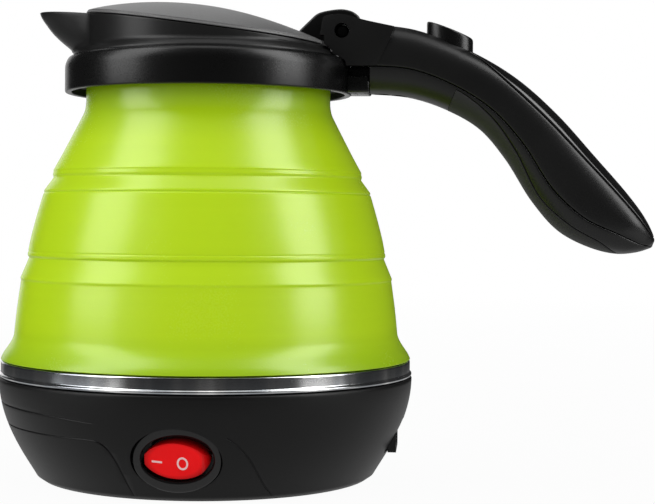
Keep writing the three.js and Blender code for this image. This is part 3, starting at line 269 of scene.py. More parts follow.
class Value:
    """A node socket that takes part in Python sums."""

    def __init__(self, look, socket):
        self.look, self.socket = look, socket

    def _sum(self, operation, first, second):
        return self.look.node("ShaderNodeMath", {"operation": operation}, first, second)

    def __add__(self, other):
        return self._sum("ADD", self, other)

    def __sub__(self, other):
        return self._sum("SUBTRACT", self, other)

    def __rsub__(self, other):
        return self._sum("SUBTRACT", other, self)

    def __mul__(self, other):
        return self._sum("MULTIPLY", self, other)

    def __truediv__(self, other):
        return self._sum("DIVIDE", self, other)

    def __rtruediv__(self, other):
        return self._sum("DIVIDE", other, self)

    __radd__, __rmul__ = __add__, __mul__

    def above(self, level, width):
        """0 below the level and 1 above it, over a soft width."""
        raised = (self - level) / width + 0.5
        raised.socket.node.use_clamp = True
        return raised


class Look:
    """One material or world: nodes are added by kind, settings and the values of their sockets."""

    def __init__(self, name, world=False):
        self.holder = (bpy.data.worlds if world else bpy.data.materials).new(name)
        self.holder.use_nodes = True
        self.tree = self.holder.node_tree
        self.tree.nodes.clear()
        self.out = self.tree.nodes.new("ShaderNodeOutputWorld" if world else "ShaderNodeOutputMaterial")

    def node(self, kind, settings=None, *inputs, output=0, **named):
        """Adds a node: its settings first, then the values or links of its sockets."""
        made = self.tree.nodes.new(kind)
        for key, value in (settings or {}).items():
            if key == "stops":
                self._stops(made.color_ramp, value)
            else:
                setattr(made, key, value)
        for key, value in [*enumerate(inputs), *named.items()]:
            socket = made.inputs[key if isinstance(key, int) else key.replace("_", " ")]
            if isinstance(value, Value):
                self.tree.links.new(value.socket, socket)
            elif value is not None:
                socket.default_value = value
        return Value(self, made.outputs[output])

    @staticmethod
    def _stops(ramp, stops):
        while len(ramp.elements) < len(stops):
            ramp.elements.new(0.5)
        for element, (place, color) in zip(ramp.elements, stops):
            element.position = place
            element.color = color

    def place(self):
        """The point on the surface, in the piece's own coordinates."""
        return self.node("ShaderNodeTexCoord", output="Object")

    def along(self, axis):
        """How far the point lies along one axis, in metres."""
        return self.node("ShaderNodeSeparateXYZ", None, self.place(), output=axis)

    def noise(self, scale, detail=2, stretch=None):
        """Noise over the surface, finer along an axis where the stretch is larger."""
        place = self.place()
        if stretch:
            place = self.node("ShaderNodeVectorMath", {"operation": "MULTIPLY"}, place, stretch)
        return self.node("ShaderNodeTexNoise", None, Vector=place, Scale=scale, Detail=detail)

    def blend(self, factor, first, second):
        """A colour between two: the five sockets left out are for plain numbers and vectors."""
        unused = [None] * 5
        return self.node("ShaderNodeMix", {"data_type": "RGBA"}, factor, *unused, first, second, output=2)

    def bump(self, height, depth):
        """A normal that follows a height, to a depth in metres."""
        return self.node("ShaderNodeBump", None, Height=height, Distance=depth, Strength=1.0)

    def show(self, surface):
        """Ends the look with the shader that it shows."""
        self.tree.links.new(surface.socket, self.out.inputs[0])
        return self.holder

    def finish(self, color, roughness, normal=None, **constants):
        """Ends the look with its surface: the other sockets named are constants."""
        return self.show(self.node("ShaderNodeBsdfPrincipled", None, Base_Color=color, Roughness=roughness,
                                   Normal=normal, **constants))


def grey(level):
    """A colour without a tint, opaque."""
    return (level, level, level, 1)


def satin_black(name, level, rough, grain=0.00002, scale=2600, shine=0.34):
    """Moulded black plastic: a fine spark-eroded grain and faint wear."""
    look = Look(name)
    grains = look.noise(scale, 3)
    clouds = look.noise(35, 3)
    color = look.blend(clouds.above(0.5, 0.5), grey(level * 0.85), grey(level * 1.2))
    roughness = clouds * 0.1 + grains * 0.06 + (rough - 0.08)
    return look.finish(color, roughness, look.bump(grains, grain), Specular_IOR_Level=shine)


def gloss_black():
    """Polished black plastic with a slight ripple."""
    look = Look("polished_black_plastic")
    ripple = look.noise(60, 2)
    return look.finish(grey(0.006), ripple * 0.06 + 0.1, look.bump(ripple, 0.00002),
                       Specular_IOR_Level=0.45)


def soft_black():
    """The grip's soft plastic, matt and a little greyer."""
    look = Look("soft_touch_black")
    grains = look.noise(3200, 2)
    patches = look.noise(50, 3)
    color = look.blend(patches, grey(0.018), grey(0.025))
    return look.finish(color, patches * 0.12 + 0.5, look.bump(grains, 0.00004),
                       Specular_IOR_Level=0.25)


def lime_silicone():
    """Satin silicone, a little cloudy, with painted shade that darkens it towards the foot and under the
    collar at the neck.
    """
    look = Look("lime_silicone")
    clouds = look.noise(28, 3)
    lines = look.noise(90, 2, (0.15, 0.15, 6))
    fine = look.noise(1900, 2)
    mottle = clouds * 0.6 + lines * 0.4
    # thin is the silicone's own colour; the darker tone is painted shade, blended in near the foot and under
    # the collar
    thin = look.blend(mottle, (0.445, 0.67, 0.0, 1), (0.505, 0.74, 0.0, 1))
    painted_shade_tone = look.blend(mottle, (0.25, 0.44, 0.0, 1), (0.29, 0.49, 0.0, 1))
    height = look.along("Z")
    foot_shade_mask = 1 - height.above((SLEEVE_FOOT + 4) * MM, 14 * MM)
    collar_shade_mask = height.above((NECK_TOP - 13) * MM, 20 * MM)
    shade = look.blend(foot_shade_mask + collar_shade_mask, thin, painted_shade_tone)
    roughness = clouds * 0.08 + fine * 0.04 + 0.2
    return look.finish(shade, roughness, look.bump(fine, 0.00002), Specular_IOR_Level=0.5,
                       Subsurface_Weight=0.12, Subsurface_Scale=0.004, Subsurface_Radius=(0.6, 1.0, 0.1))


def band_steel():
    """Polished stainless sheet, with painted reflections: broad light and dark stripes that run up and down
    the band.
    """
    look = Look("polished_steel_band")
    turn = look.node("ShaderNodeMath", {"operation": "ARCTAN2"}, look.along("Y"), look.along("X"))
    joined = look.node("ShaderNodeCombineXYZ", None, turn)
    broad = look.node("ShaderNodeTexNoise", None, Vector=joined, Scale=2.6, Detail=3, Roughness=0.55)
    # Painted reflections: the colour runs from dark grey to near white in stripes round the band, and the
    # gloss varies with them
    color = look.node("ShaderNodeValToRGB", {"stops": [
        (0.34, (0.24, 0.25, 0.27, 1)), (0.46, (0.4, 0.42, 0.44, 1)), (0.54, grey(0.6)),
        (0.6, grey(0.9)), (0.7, grey(0.92))]}, broad)
    return look.finish(color, broad * 0.1 + 0.12, Metallic=1.0)


def plain_finish(name, color, rough, scale=400, darkest=0.85, spread=0.15, grain=0.00003, metallic=0.0):
    """An even finish with small marks in its colour and its gloss."""
    look = Look(name)
    marks = look.noise(scale, 3)
    shade = look.blend(marks, (*(darkest * c for c in color), 1), (*color, 1))
    return look.finish(shade, marks * spread + rough, look.bump(marks, grain), Metallic=metallic)


def plain_metal(name, color, rough):
    """A metal left as it is worked, with larger marks than the matt finishes."""
    return plain_finish(name, color, rough, 300, 0.8, 0.2, 0.00002, 1.0)


def red_lens():
    """The rocker's red moulding: bright on its face, with painted shade that darkens it towards its edges.
    """
    look = Look("red_translucent_plastic")
    across = look.along("X") / (ROCKER_HALF_WIDTH * MM)
    high = (look.along("Z") - SWITCH_HEIGHT * MM) / (ROCKER_HALF_HEIGHT * MM)
    depth = look.noise(160, 2)
    # Painted shade: the red darkens towards the rocker's rim
    edge = (across * across + high * high + depth * 0.12).above(0.86, 0.5)
    shade = look.blend(edge, (0.9, 0.006, 0.008, 1), (0.22, 0.001, 0.002, 1))
    return look.finish(shade, depth * 0.08 + 0.18, look.bump(depth, 0.00003),
                       Specular_IOR_Level=0.14)


def seal_silicone():
    """The lid seal's pale, faintly cloudy silicone."""
    look = Look("pale_silicone")
    clouds = look.noise(120, 2)
    shade = look.blend(clouds, (0.62, 0.62, 0.58, 1), (0.75, 0.75, 0.7, 1))
    return look.finish(shade, clouds * 0.1 + 0.4, look.bump(clouds, 0.00002), Subsurface_Weight=0.2,
                       Subsurface_Scale=0.002)


# The moulded blacks of the collar, the base, the spout ring, the handle and the lid
black = satin_black("satin_black_plastic", 0.0025, 0.28)
dull = satin_black("dull_black_plastic", 0.003, 0.42, shine=0.24)
matt = satin_black("matt_black_plastic", 0.009, 0.35, shine=0.26)
casing = satin_black("handle_black_plastic", 0.0065, 0.33)
# The lid's level of 0.12 is a grey, not a black: painted light from above on the dome; its grain is real
grained = satin_black("grained_plastic_painted_light_grey", 0.12, 0.45, 0.0001, 1500, 0.45)
glossy, soft, lime, band = gloss_black(), soft_black(), lime_silicone(), band_steel()
lens, pale_seal = red_lens(), seal_silicone()
zinc = plain_metal("zinc_plate", (0.55, 0.56, 0.57), 0.3)
aluminium = plain_metal("cast_aluminium", (0.5, 0.51, 0.52), 0.45)
# The hinge pin's near-black colour is painted shade: its ends show as the dark holes through the cheeks
pin_shade_dark = plain_metal("pin_steel_painted_shade", (0.03, 0.03, 0.03), 0.4)
brass = plain_metal("contact_brass", (0.6, 0.42, 0.16), 0.3)
spring_steel = plain_metal("spring_steel", (0.5, 0.5, 0.51), 0.25)
ceramic = plain_finish("unglazed_ceramic", (0.78, 0.75, 0.68), 0.55)
foot_rubber = plain_finish("foot_rubber", (0.02, 0.02, 0.02), 0.7)
mark_paint = plain_finish("mark_paint", (0.95, 0.6, 0.6), 0.4)


def paint(obj, material, slot):
    """Gives a piece its one finish; the slot argument is not used."""
    obj.data.materials.clear()
    obj.data.materials.append(material)


def dress(obj, body, material, slot, *nodes):
    """Gives a piece its body, finish and the CAD nodes that it stands for."""
    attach(obj, body)
    if nodes:
        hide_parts(*nodes)
    paint(obj, material, slot)


def smooth_table(table, t):
    """A value from evenly spaced shares, on a smooth curve through them."""
    place = min(max(t, 0), 1) * (len(table) - 1)
    i = min(int(place), len(table) - 2)
    w = place - i
    a, b = table[i], table[i + 1]
    before = table[i - 1] if i > 0 else 2 * a - b
    after = table[i + 2] if i + 2 < len(table) else 2 * b - a
    lean_a, lean_b = (b - before) / 2, (after - a) / 2
    return (a * (2 * w ** 3 - 3 * w ** 2 + 1) + lean_a * (w ** 3 - 2 * w ** 2 + w)
            + b * (3 * w ** 2 - 2 * w ** 3) + lean_b * (w ** 3 - w ** 2))


# Base

BASE_CURVE_REACH = 12.2
BASE_CURVE_POWER = 2.3
BASE_WALL = 2.4
BASE_FLAT_RADIUS = BASE_RADIUS - BASE_CURVE_REACH
BASE_CURVE_STEPS = 40
PLATE_THICKNESS = 2.3
LEDGE_WIDTH = 2.6
LEDGE_THICKNESS = 2
FOOT_EASE = 1.1


def bowl_curve(inset, steps=BASE_CURVE_STEPS):
    """The bowl's side line, drawn in by an inset, from its foot to its top."""
    points = []
    for i in range(steps + 1):
        angle = pi / 2 * i / steps
        radius = BASE_FLAT_RADIUS + (BASE_CURVE_REACH - inset) * sin(angle) ** BASE_CURVE_POWER
        points.append((radius, BASE_HEIGHT - (BASE_HEIGHT - inset) * cos(angle)))
    return points


def bowl_radius(z):
    """Radius of the bowl's outside at a height."""
    drop = min(max((BASE_HEIGHT - z) / BASE_HEIGHT, 0), 1)
    return BASE_FLAT_RADIUS + BASE_CURVE_REACH * (1 - drop ** 2) ** (BASE_CURVE_POWER / 2)


POCKET_RIM = 2.2
INLET_LIP = 4.4
INLET_RAISED = 3.4
INLET_FRAME = 1.6
INLET_PROUD = 3.2
INLET_CORNER = 3
POCKET_FLOOR = 4
POCKET_HALF_WIDTH = ROCKER_HALF_WIDTH + ROCKER_CLEARANCE + BARREL_WALL + BEZEL_SIDE
POCKET_HALF_HEIGHT = ROCKER_HALF_HEIGHT + ROCKER_CLEARANCE + BARREL_WALL + BEZEL_EDGE


def at_switch(obj):
    """Puts a piece drawn on the switch's face, with +Z out of it, in its place on the base."""
    return placed(obj, (0, -SWITCH_DEPTH_RADIUS, SWITCH_HEIGHT), pi / 2 + SWITCH_TILT, "X")


def switch_plug(name, half_width, half_height, low, steps=72):
    """An oval solid that runs from a depth behind the switch's face out past the bowl."""
    past_bowl = BASE_RADIUS - SWITCH_DEPTH_RADIUS + OVERRUN
    return at_switch(prism(name, oval(half_width, half_height, steps), low, past_bowl))


def inlet_outline(grow, raised=INLET_RAISED):
    """The inlet's (y, z) outline with its upper corners cut off, grown by a margin."""
    w, low, top = INLET_HALF + grow, INLET_LOW + raised - grow, INLET_TOP + grow
    cut = INLET_CORNER
    return [(-w, low), (w, low), (w, top - cut), (w - cut, top), (cut - w, top), (-w, top - cut)]


# Thin lines moulded in the bowl, as degrees round the axis and shares of its height
LOWER_LINE_SHARES = [(-215, 0.55), (-160, 0.56), (-140, 0.565), (-124, 0.565), (-114.5, 0.567),
                     (-111, 0.545), (-108.7, 0.48), (-107.2, 0.38), (-106.2, 0.27), (-105.4, 0.15),
                     (-104.4, 0.04)]
UPPER_LINE_SHARES = [(-215, 0.76), (-160, 0.766), (-140, 0.765), (-125, 0.75), (-112, 0.72)]
SWITCH_LINE_SHARES = [(-76.5, 0.62), (-73.5, 0.54), (-70.5, 0.43), (-67.6, 0.29), (-64.5, 0.15),
                      (-61, 0.04)]
LINE_RADIUS = 0.32
LINE_END_SHARE = 0.35
LINE_FADE_STEPS = 12


def smooth_run(points, steps):
    """Points on a smooth curve through a run of (place, place) pairs."""
    columns = list(zip(*points))
    return [tuple(smooth_table(column, i / steps) for column in columns) for i in range(steps + 1)]


def bowl_line(shares, steps=90):
    """A thin round bar laid half into the bowl along a line of angles and heights."""
    rings = []
    run = smooth_run(shares, steps)
    for i, (degrees, share) in enumerate(run):
        z = share * BASE_HEIGHT
        radius = bowl_radius(z)
        angle = radians(degrees)
        centre = Vector((radius * cos(angle), radius * sin(angle), z))
        ahead, behind = run[min(i + 1, steps)], run[max(i - 1, 0)]
        step = Vector((radians(ahead[0] - behind[0]) * radius, (ahead[1] - behind[1]) * BASE_HEIGHT))
        step.normalize()
        around = Vector((-sin(angle), cos(angle), 0))
        out = Vector((cos(angle), sin(angle), 0))
        side = around * -step.y + Vector((0, 0, 1)) * step.x
        fade = min(1, (steps - i) / LINE_FADE_STEPS)
        size = LINE_RADIUS * (LINE_END_SHARE + (1 - LINE_END_SHARE) * fade)
        rings.append([centre + out * u + side * v for u, v in oval(size, size, 8)])
    return lofted("line_cutter", rings)


def base_shell():
    """The bowl, with the pockets of the switch and the inlet and its fine moulded lines."""
    ledge_low = PLATE_THICKNESS + GAP
    ledge_top = ledge_low + LEDGE_THICKNESS
    seat = PLATE_RADIUS + GAP
    lip = 0.5
    side = [p for p in bowl_curve(0)[1:-1] if p[1] > FOOT_EASE * 0.9]
    inner = [p for p in bowl_curve(BASE_WALL, 24) if p[1] > ledge_top][::-1]
    shell = turned("base_shell", [
        *side, (BASE_RADIUS, BASE_HEIGHT - lip), (BASE_RADIUS - lip / 3, BASE_HEIGHT - lip / 3),
        (BASE_RADIUS - lip, BASE_HEIGHT), *inner, (inner[-1][0] - BASE_WALL, ledge_top),
        (seat - LEDGE_WIDTH, ledge_top), (seat - LEDGE_WIDTH, ledge_low), (seat, ledge_low),
        (seat, lip / 2), (seat + lip / 2, 0), (BASE_FLAT_RADIUS - FOOT_EASE, 0)])

    inset, rim, past_bowl = BASE_WALL / 2, POCKET_RIM, BASE_RADIUS + OVERRUN
    core = [(AXIS, ledge_low), *[p for p in bowl_curve(inset, 24) if p[1] > ledge_low],
            (AXIS, BASE_HEIGHT - inset / 2)]
    surround = switch_plug("surround", POCKET_HALF_WIDTH + rim, POCKET_HALF_HEIGHT + rim, -POCKET_FLOOR)
    housing = block("inlet_housing", ((INLET_BACK + INLET_FRONT) / 2, -INLET_HALF - rim, ledge_low + GAP),
                    (past_bowl, INLET_HALF + rim, INLET_TOP + rim))
    for inside in (surround, housing):
        carve(inside, turned("core", core), operation="INTERSECT")
    inlet_frame = prism("inlet_frame", rounded(inlet_outline(INLET_FRAME - INLET_LIP, 0), 1),
                        INLET_FRONT + 2 * GAP, INLET_FRONT + INLET_PROUD, X)
    carve(shell, surround, housing, inlet_frame, operation="UNION")

    room = ROCKER_CLEARANCE + BARREL_WALL + GAP
    carve(shell,
          switch_plug("pocket", POCKET_HALF_WIDTH, POCKET_HALF_HEIGHT, -BEZEL_THICKNESS - GAP, 96),
          switch_plug("hole", ROCKER_HALF_WIDTH + room, ROCKER_HALF_HEIGHT + room, -POCKET_FLOOR - OVERRUN),
          prism("inlet_room", rounded(inlet_outline(GAP), 1), INLET_BACK, INLET_FRONT + GAP, X),
          prism("inlet_mouth", rounded(inlet_outline(-INLET_LIP, 0), 1), INLET_FRONT, past_bowl, X),
          *[bowl_line(shares) for shares in (LOWER_LINE_SHARES, UPPER_LINE_SHARES, SWITCH_LINE_SHARES)])
    dress(softened(shell, width=0.35, angle=50), "base", dull, "black_plastic", "base_housing")


def switch_bezel():
    """Flat oval frame round the rocker, with the barrel that it stands on."""
    # Each step is a share of the way from the opening out to the edge, and a height
    step = [(1, -BEZEL_THICKNESS), (1, -0.35), (0.93, -0.1), (0.8, 0), (0.28, 0), (0.12, -0.08), (0, -0.4),
            (0, -BARREL_DEPTH), (0.32, -BARREL_DEPTH), (0.32, -BEZEL_THICKNESS)]
    opening = (ROCKER_HALF_WIDTH + ROCKER_CLEARANCE, ROCKER_HALF_HEIGHT + ROCKER_CLEARANCE)
    outside = (POCKET_HALF_WIDTH - GAP, POCKET_HALF_HEIGHT - GAP)
    rings = []
    for share, z in step:
        half = [a + (b - a) * share for a, b in zip(opening, outside)]
        rings.append([(x, y, z) for x, y in oval(*half, 96)])
    bezel = at_switch(lofted("switch_bezel", rings, looped=True))
    dress(bezel, "base", glossy, "gloss_black", "switch_body")


def switch_well():
    """The dark floor that shows past the rocker's edge."""
    room = ROCKER_CLEARANCE + WELL_OVERLAP
    floor = prism("switch_well", oval(ROCKER_HALF_WIDTH + room, ROCKER_HALF_HEIGHT + room),
                  -WELL_DEPTH, WELL_THICKNESS - WELL_DEPTH)
    dress(at_switch(floor), "base", glossy, "gloss_black")


# Heights over the bezel: the raised end, the sunk end, and how far down the pivot and tail lie
ROCKER_PROUD = 3
ROCKER_SUNK = 0.3
ROCKER_PIVOT = 3
ROCKER_TAIL = 3.4
ROCKER_CREST_SHARE = 0.79


def rocker_face(x):
    """Height of the rocker's upper face over the bezel at a place along it."""
    middle = ROCKER_PROUD / 2
    if x < 0:
        return middle + (middle - ROCKER_SUNK) * x / ROCKER_HALF_WIDTH
    return middle + (ROCKER_PROUD - middle) * x / (ROCKER_HALF_WIDTH * ROCKER_CREST_SHARE)


def rocker_button():
    """The rocker: round ends and two flat faces that meet over its pivot."""
    def end(height):
        """How far the rounded end reaches at a height over the pivot."""
        return (ROCKER_HALF_WIDTH ** 2 - height ** 2) ** 0.5

    steps, column_half = 6, 12
    tall = ROCKER_PIVOT + ROCKER_PROUD
    short = ROCKER_PIVOT + ROCKER_SUNK
    right = [(end(tall * i / steps), tall * i / steps - ROCKER_PIVOT) for i in range(steps + 1)]
    left = [(-end(short * i / steps), short * i / steps - ROCKER_PIVOT) for i in range(steps, -1, -1)]
    foot = -ROCKER_PIVOT - ROCKER_TAIL
    outline = [(-ROCKER_TAIL, foot), (ROCKER_TAIL, foot), *right, (0, ROCKER_PROUD / 2), *left]
    body = slab("rocker_button", outline, ROCKER_HALF_HEIGHT + OVERRUN)
    column = prism("column", lens_outline(ROCKER_HALF_WIDTH, ROCKER_FACE_HALF), -column_half, column_half)
    carve(body, column, operation="INTERSECT", sharp=20)
    softened(body, width=0.45, segments=3, angle=14, sharp=30)
    dress(at_switch(body), "rocker", lens, "red_lens", "rocker")


MARK_RISE = 0.12
MARK_HALF_WIDTH = 0.27


def on_rocker(name, loops):
    """Thin marks laid on the rocker's face, from closed loops of (x, y) pairs."""
    rings = [[(x, y, rocker_face(x) + z) for x, y in loop] for loop, z in loops]
    dress(at_switch(lofted(name, rings, looped=True)), "rocker", mark_paint, "red_lens")


def rocker_marks():
    """The two switch marks: a bar on the sunk end and a ring by the middle."""
    line, rise = MARK_HALF_WIDTH, MARK_RISE
    centre, half_width, half_height = (1.95, -0.5), 1.4, 1.6
    on_rocker("rocker_mark_ring", [
        (oval(half_width + grow, half_height + grow, 40, centre), z)
        for grow, z in ((-line, -rise), (line, -rise), (line, rise), (-line, rise))])
    (left, left_y), (right, right_y) = (-7.0, -0.35), (-4.0, -0.5)
    run = [(left, left_y - line), (right, right_y - line), (right, right_y + line), (left, left_y + line)]
    middle, pinch = Vector(((left + right) / 2, (left_y + right_y) / 2)), 0.02
    core = [tuple(middle.lerp(Vector(point), pinch)) for point in run]
    on_rocker("rocker_mark_bar", [(core, -rise), (run, -rise), (run, rise), (core, rise)])


def mains_socket():
    """The inlet's frame and the three pins inside it."""
    wall, back, corner = 1.4, 2, 0.8
    frame_block = prism("mains_socket", rounded(inlet_outline(0), corner), INLET_BACK, INLET_FRONT, X)
    carve(frame_block, prism("hollow", rounded(inlet_outline(-wall), corner), INLET_BACK + back,
                             INLET_FRONT + OVERRUN, X))
    dress(softened(frame_block, width=0.3), "base", black, "black_plastic", "mains_inlet")
    for name in ("inlet_pin_line", "inlet_pin_neutral", "inlet_pin_earth"):
        low, high = (Vector(corner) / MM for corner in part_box(name))
        pin = softened(block(name.replace("inlet", "contact"), low, high), width=0.5, segments=3)
        dress(pin, "base", brass, "brass_contacts", name)


# The plate's screws and feet, and the degrees round the plate at which each ring of three starts
SCREW_START, FOOT_START = 80, 20
PILLAR_CIRCLE = PLATE_RADIUS - 6.3
FOOT_CIRCLE = PLATE_RADIUS - 5.7
SCREW_HEAD = 2.5
SCREW_SHANK = 1.25
SLOT_HALF_WIDTH = 0.3
FOOT_RADIUS = 2.6
FOOT_HEIGHT = -reach("foot_1", LOW, Z)


def three_round(radius, start):
    """Three places evenly round a circle, the first at a number of degrees."""
    turns = [radians(start) + 2 * pi * i / 3 for i in range(3)]
    return [(radius * cos(turn), radius * sin(turn)) for turn in turns]


def headed_screw(name, node, centre, low, head, chamfer, point, corner, slot_half, turn):
    """A screw with its head down: a chamfered head with a driver's cross, a shank and a point."""
    top = reach(node, HIGH, Z)
    screw = turned(name, rounded([
        (AXIS, low, 0), (head - chamfer, low), (head, low + 0.5), (head, low + 0.9),
        (SCREW_SHANK, low + 0.9), (SCREW_SHANK, top - point), (AXIS, top, 0)], corner), 32, centre)
    for angle in (0, pi / 2):
        groove = block("groove", (-slot_half, -SLOT_HALF_WIDTH, low - 1),
                       (slot_half, SLOT_HALF_WIDTH, low + 0.6))
        carve(screw, placed(groove, (*centre, 0), angle + turn))
    return screw


def underside():
    """The plate under the base with its screws and rubber feet."""
    edge, face, sunk = 0.5, 0.35, 0.6
    plate = turned("underside_plate", [
        (AXIS, face), (PLATE_RADIUS * 0.2, face), (PLATE_RADIUS * 0.21, sunk), (PLATE_RADIUS * 0.76, sunk),
        (PLATE_RADIUS * 0.77, 0), (PLATE_RADIUS - edge, 0), (PLATE_RADIUS, edge),
        (PLATE_RADIUS, PLATE_THICKNESS), (AXIS, PLATE_THICKNESS)])
    screws, feet = three_round(PILLAR_CIRCLE, SCREW_START), three_round(FOOT_CIRCLE, FOOT_START)
    for centre in screws:
        carve(plate, plug(SCREW_HEAD + GAP, -1, 1.5, centre))
    for centre in feet:
        carve(plate, plug(FOOT_RADIUS + GAP, -1, 0.9, centre))
    dress(plate, "base", dull, "black_plastic", "base_plate")
    for i, centre in enumerate(feet):
        foot = turned(f"rubber_foot_{i + 1}", rounded([
            (AXIS, -FOOT_HEIGHT, 0), (FOOT_RADIUS * 0.78, -FOOT_HEIGHT), (FOOT_RADIUS, 0),
            (FOOT_RADIUS, 0.7), (1.5, 0.7), (1.5, 2.6), (2.1, 2.6), (AXIS, 4.1, 0)], 0.4), 40, centre)
        dress(foot, "base", foot_rubber, "rubber_feet", f"foot_{i + 1}")
    for i, centre in enumerate(screws):
        node = f"base_screw_{i + 1}"
        screw = headed_screw(f"long_screw_{i + 1}", node, centre, GAP, SCREW_HEAD, chamfer=0.4, point=1.25,
                             corner=0.25, slot_half=1.5, turn=pi / 5)
        dress(screw, "base", zinc, "plated_steel", node)


# Steel band and pan

PAN_INSET = 4.7
SHEET = 0.8


def steel_band():
    """The pan, its rim rolled over the base as a band with a bead along its foot."""
    corner, bead, bead_middle, bead_top, tuck = 2.8, 0.5, 0.75, 1.25, 0.1
    pan, skirt, sheet_top = BAND_RADIUS - PAN_INSET, BAND_FOOT, BAND_TOP - SHEET
    profile = [
        (AXIS, POT_FLOOR, 0), (pan, POT_FLOOR, corner), (pan, sheet_top, 0.4),
        (BAND_RADIUS - SHEET, sheet_top, 0.4), (BAND_RADIUS - SHEET, skirt, 0.1),
        (BAND_RADIUS + bead * 0.6, skirt, 0.45), (BAND_RADIUS + bead, skirt + bead_middle, 0.45),
        (BAND_RADIUS - tuck, skirt + bead_top, 0.25), (BAND_RADIUS - tuck, BAND_TOP, 0.7),
        (pan - SHEET, BAND_TOP, 0.7), (pan - SHEET, POT_FLOOR + SHEET, corner - SHEET),
        (AXIS, POT_FLOOR + SHEET, 0)]
    pot = turned("steel_band", rounded(profile, 0.3, 6), 256)
    dress(pot, "base", band, "stainless_steel", "heater_pot")


# Silicone body

SILICONE_WALL = 1.8
FLANGE_PROUD = 2.7
FLANGE_THICKNESS = 2.1
# Outer and inner lines of the body, as (share of the way from the neck out to the band, share
# of the stretch's height, softness of the corner in millimetres)
LOWER_SHARES = [
    (1, 0, 0.3), (0.972, 0.05, 0.8), (0.882, 0.155, 1.2), (0.844, 0.22, 2.5), (0.812, 0.48, 5),
    (0.762, 0.765, 1), (0.77, 0.785, 0.5), (0.668, 0.985, 0.5), (0.684, 1, 0.3)]
FOLD_SHARES = [
    (0.687, 0.01, 0.3), (0.684, 0.05, 0.2), (0.676, 0.065, 0.2), (0.678, 0.085, 0.2), (0.649, 0.28, 3),
    (0.579, 0.62, 4), (0.504, 0.945, 0.5), (0.489, 0.962, 0.15), (0.499, 0.982, 0.2)]
UPPER_SHARES = [
    (0.494, 0, 0.3), (0.382, 0.105, 0.5), (0.394, 0.125, 0.3), (0.384, 0.155, 0.2), (0.387, 0.165, 0.2),
    (0.287, 0.29, 4), (0.122, 0.51, 8), (0.019, 0.65, 4), (0, 0.72, 2)]
LOWER_CAVITY_SHARES = [(0.832, 0.056, 1), (0.769, 0.2, 3), (0.694, 0.78, 3)]
FOLD_CAVITY_SHARES = [(0.61, 0, 1), (0.58, 0.28, 3), (0.51, 0.62, 4)]
UPPER_CAVITY_SHARES = [(0.417, 0, 1), (0.219, 0.29, 4), (-0.046, 0.65, 4)]


def silicone_line(shares, low, high):
    """One line's points between two heights of the body."""
    return [(NECK_RADIUS + r * (BAND_RADIUS - NECK_RADIUS), low + z * (high - low), size)
            for r, z, size in shares]


def finer(points, longest):
    """The outline with long runs cut into short ones."""
    out = []
    for (x, z), (u, v) in zip(points, points[1:] + points[:1]):
        pieces = max(1, int(hypot(u - x, v - z) / longest))
        out.extend((x + (u - x) * k / pieces, z + (v - z) * k / pieces) for k in range(pieces))
    return out


def silicone_body():
    """The body as one moulding, from its foot on the base to its neck under the collar."""
    tongue = BAND_RADIUS - PAN_INSET - SHEET - GAP
    foot = reach("lower_sleeve", LOW, Z)
    fold_low, fold_high = FOLD_LOW - GAP, FOLD_HIGH + GAP
    flange, flange_foot = NECK_RADIUS + FLANGE_PROUD, NECK_TOP - FLANGE_THICKNESS
    cavity = [*silicone_line(LOWER_CAVITY_SHARES, SLEEVE_FOOT, fold_low),
              *silicone_line(FOLD_CAVITY_SHARES, fold_low, fold_high),
              *silicone_line(UPPER_CAVITY_SHARES, fold_high, NECK_TOP)]
    outline = [
        (tongue - SILICONE_WALL, foot, 0.3), (tongue, foot, 0.3), (tongue, SLEEVE_FOOT, 0.1),
        *silicone_line(LOWER_SHARES, SLEEVE_FOOT, fold_low),
        *silicone_line(FOLD_SHARES, fold_low, fold_high),
        *silicone_line(UPPER_SHARES, fold_high, NECK_TOP),
        (NECK_RADIUS, flange_foot, 0.5), (flange, flange_foot, 0.4), (flange, NECK_TOP, 0.4),
        (NECK_RADIUS - SILICONE_WALL, NECK_TOP, 0.4), *reversed(cavity),
        (tongue - SILICONE_WALL, SLEEVE_FOOT + SILICONE_WALL, 0.5)]
    body = turned("silicone_body", finer(rounded(outline, 0.5, 5), 1.1), 192, sharp=180)
    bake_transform(body)
    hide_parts("lower_sleeve", "middle_fold", "upper_sleeve")
    paint(body, lime, "lime_silicone")


# Collar

SHELF_TOP = NECK_TOP - FLANGE_THICKNESS - GAP
COLLAR_WALL = 2
SHOULDER_WIDTH = 3.4
COLLAR_MOUTH = COLLAR_RADIUS - SHOULDER_WIDTH
ARM_END = reach("collar", HIGH, X)
BLOCK_END = ARM_END - 10.8
ARM_TOP = NECK_TOP + 1.3
ARM_HEIGHT = 4.4
BLOCK_TOP = ARM_TOP - 2.9
BLOCK_FOOT = BLOCK_TOP - 5


def collar_ring():
    """The collar's band, with a rolled shoulder and the shelf that the silicone hangs on."""
    shoulder = COLLAR_TOP - 3
    shelf_low = SHELF_TOP - COLLAR_WALL
    inside = COLLAR_RADIUS - COLLAR_WALL
    shelf = NECK_RADIUS + 2 * GAP
    outline = [
        (COLLAR_RADIUS, COLLAR_FOOT, 0.5), (COLLAR_RADIUS, shoulder, 2),
        (COLLAR_RADIUS - 1, COLLAR_TOP - 0.7, 1.6), (COLLAR_RADIUS - SHOULDER_WIDTH * 0.8, COLLAR_TOP, 0.8),
        (COLLAR_MOUTH, COLLAR_TOP - 0.3, 0.3), (COLLAR_MOUTH, SHELF_TOP, 0.2), (shelf, SHELF_TOP, 0.2),
        (shelf, shelf_low, 0.3), (inside, shelf_low, 0.3), (inside, COLLAR_FOOT, 0.4)]
    ring = turned("collar_ring", rounded(outline, 0.3, 6), 224)
    dress(ring, "top", black, "black_plastic", "collar")


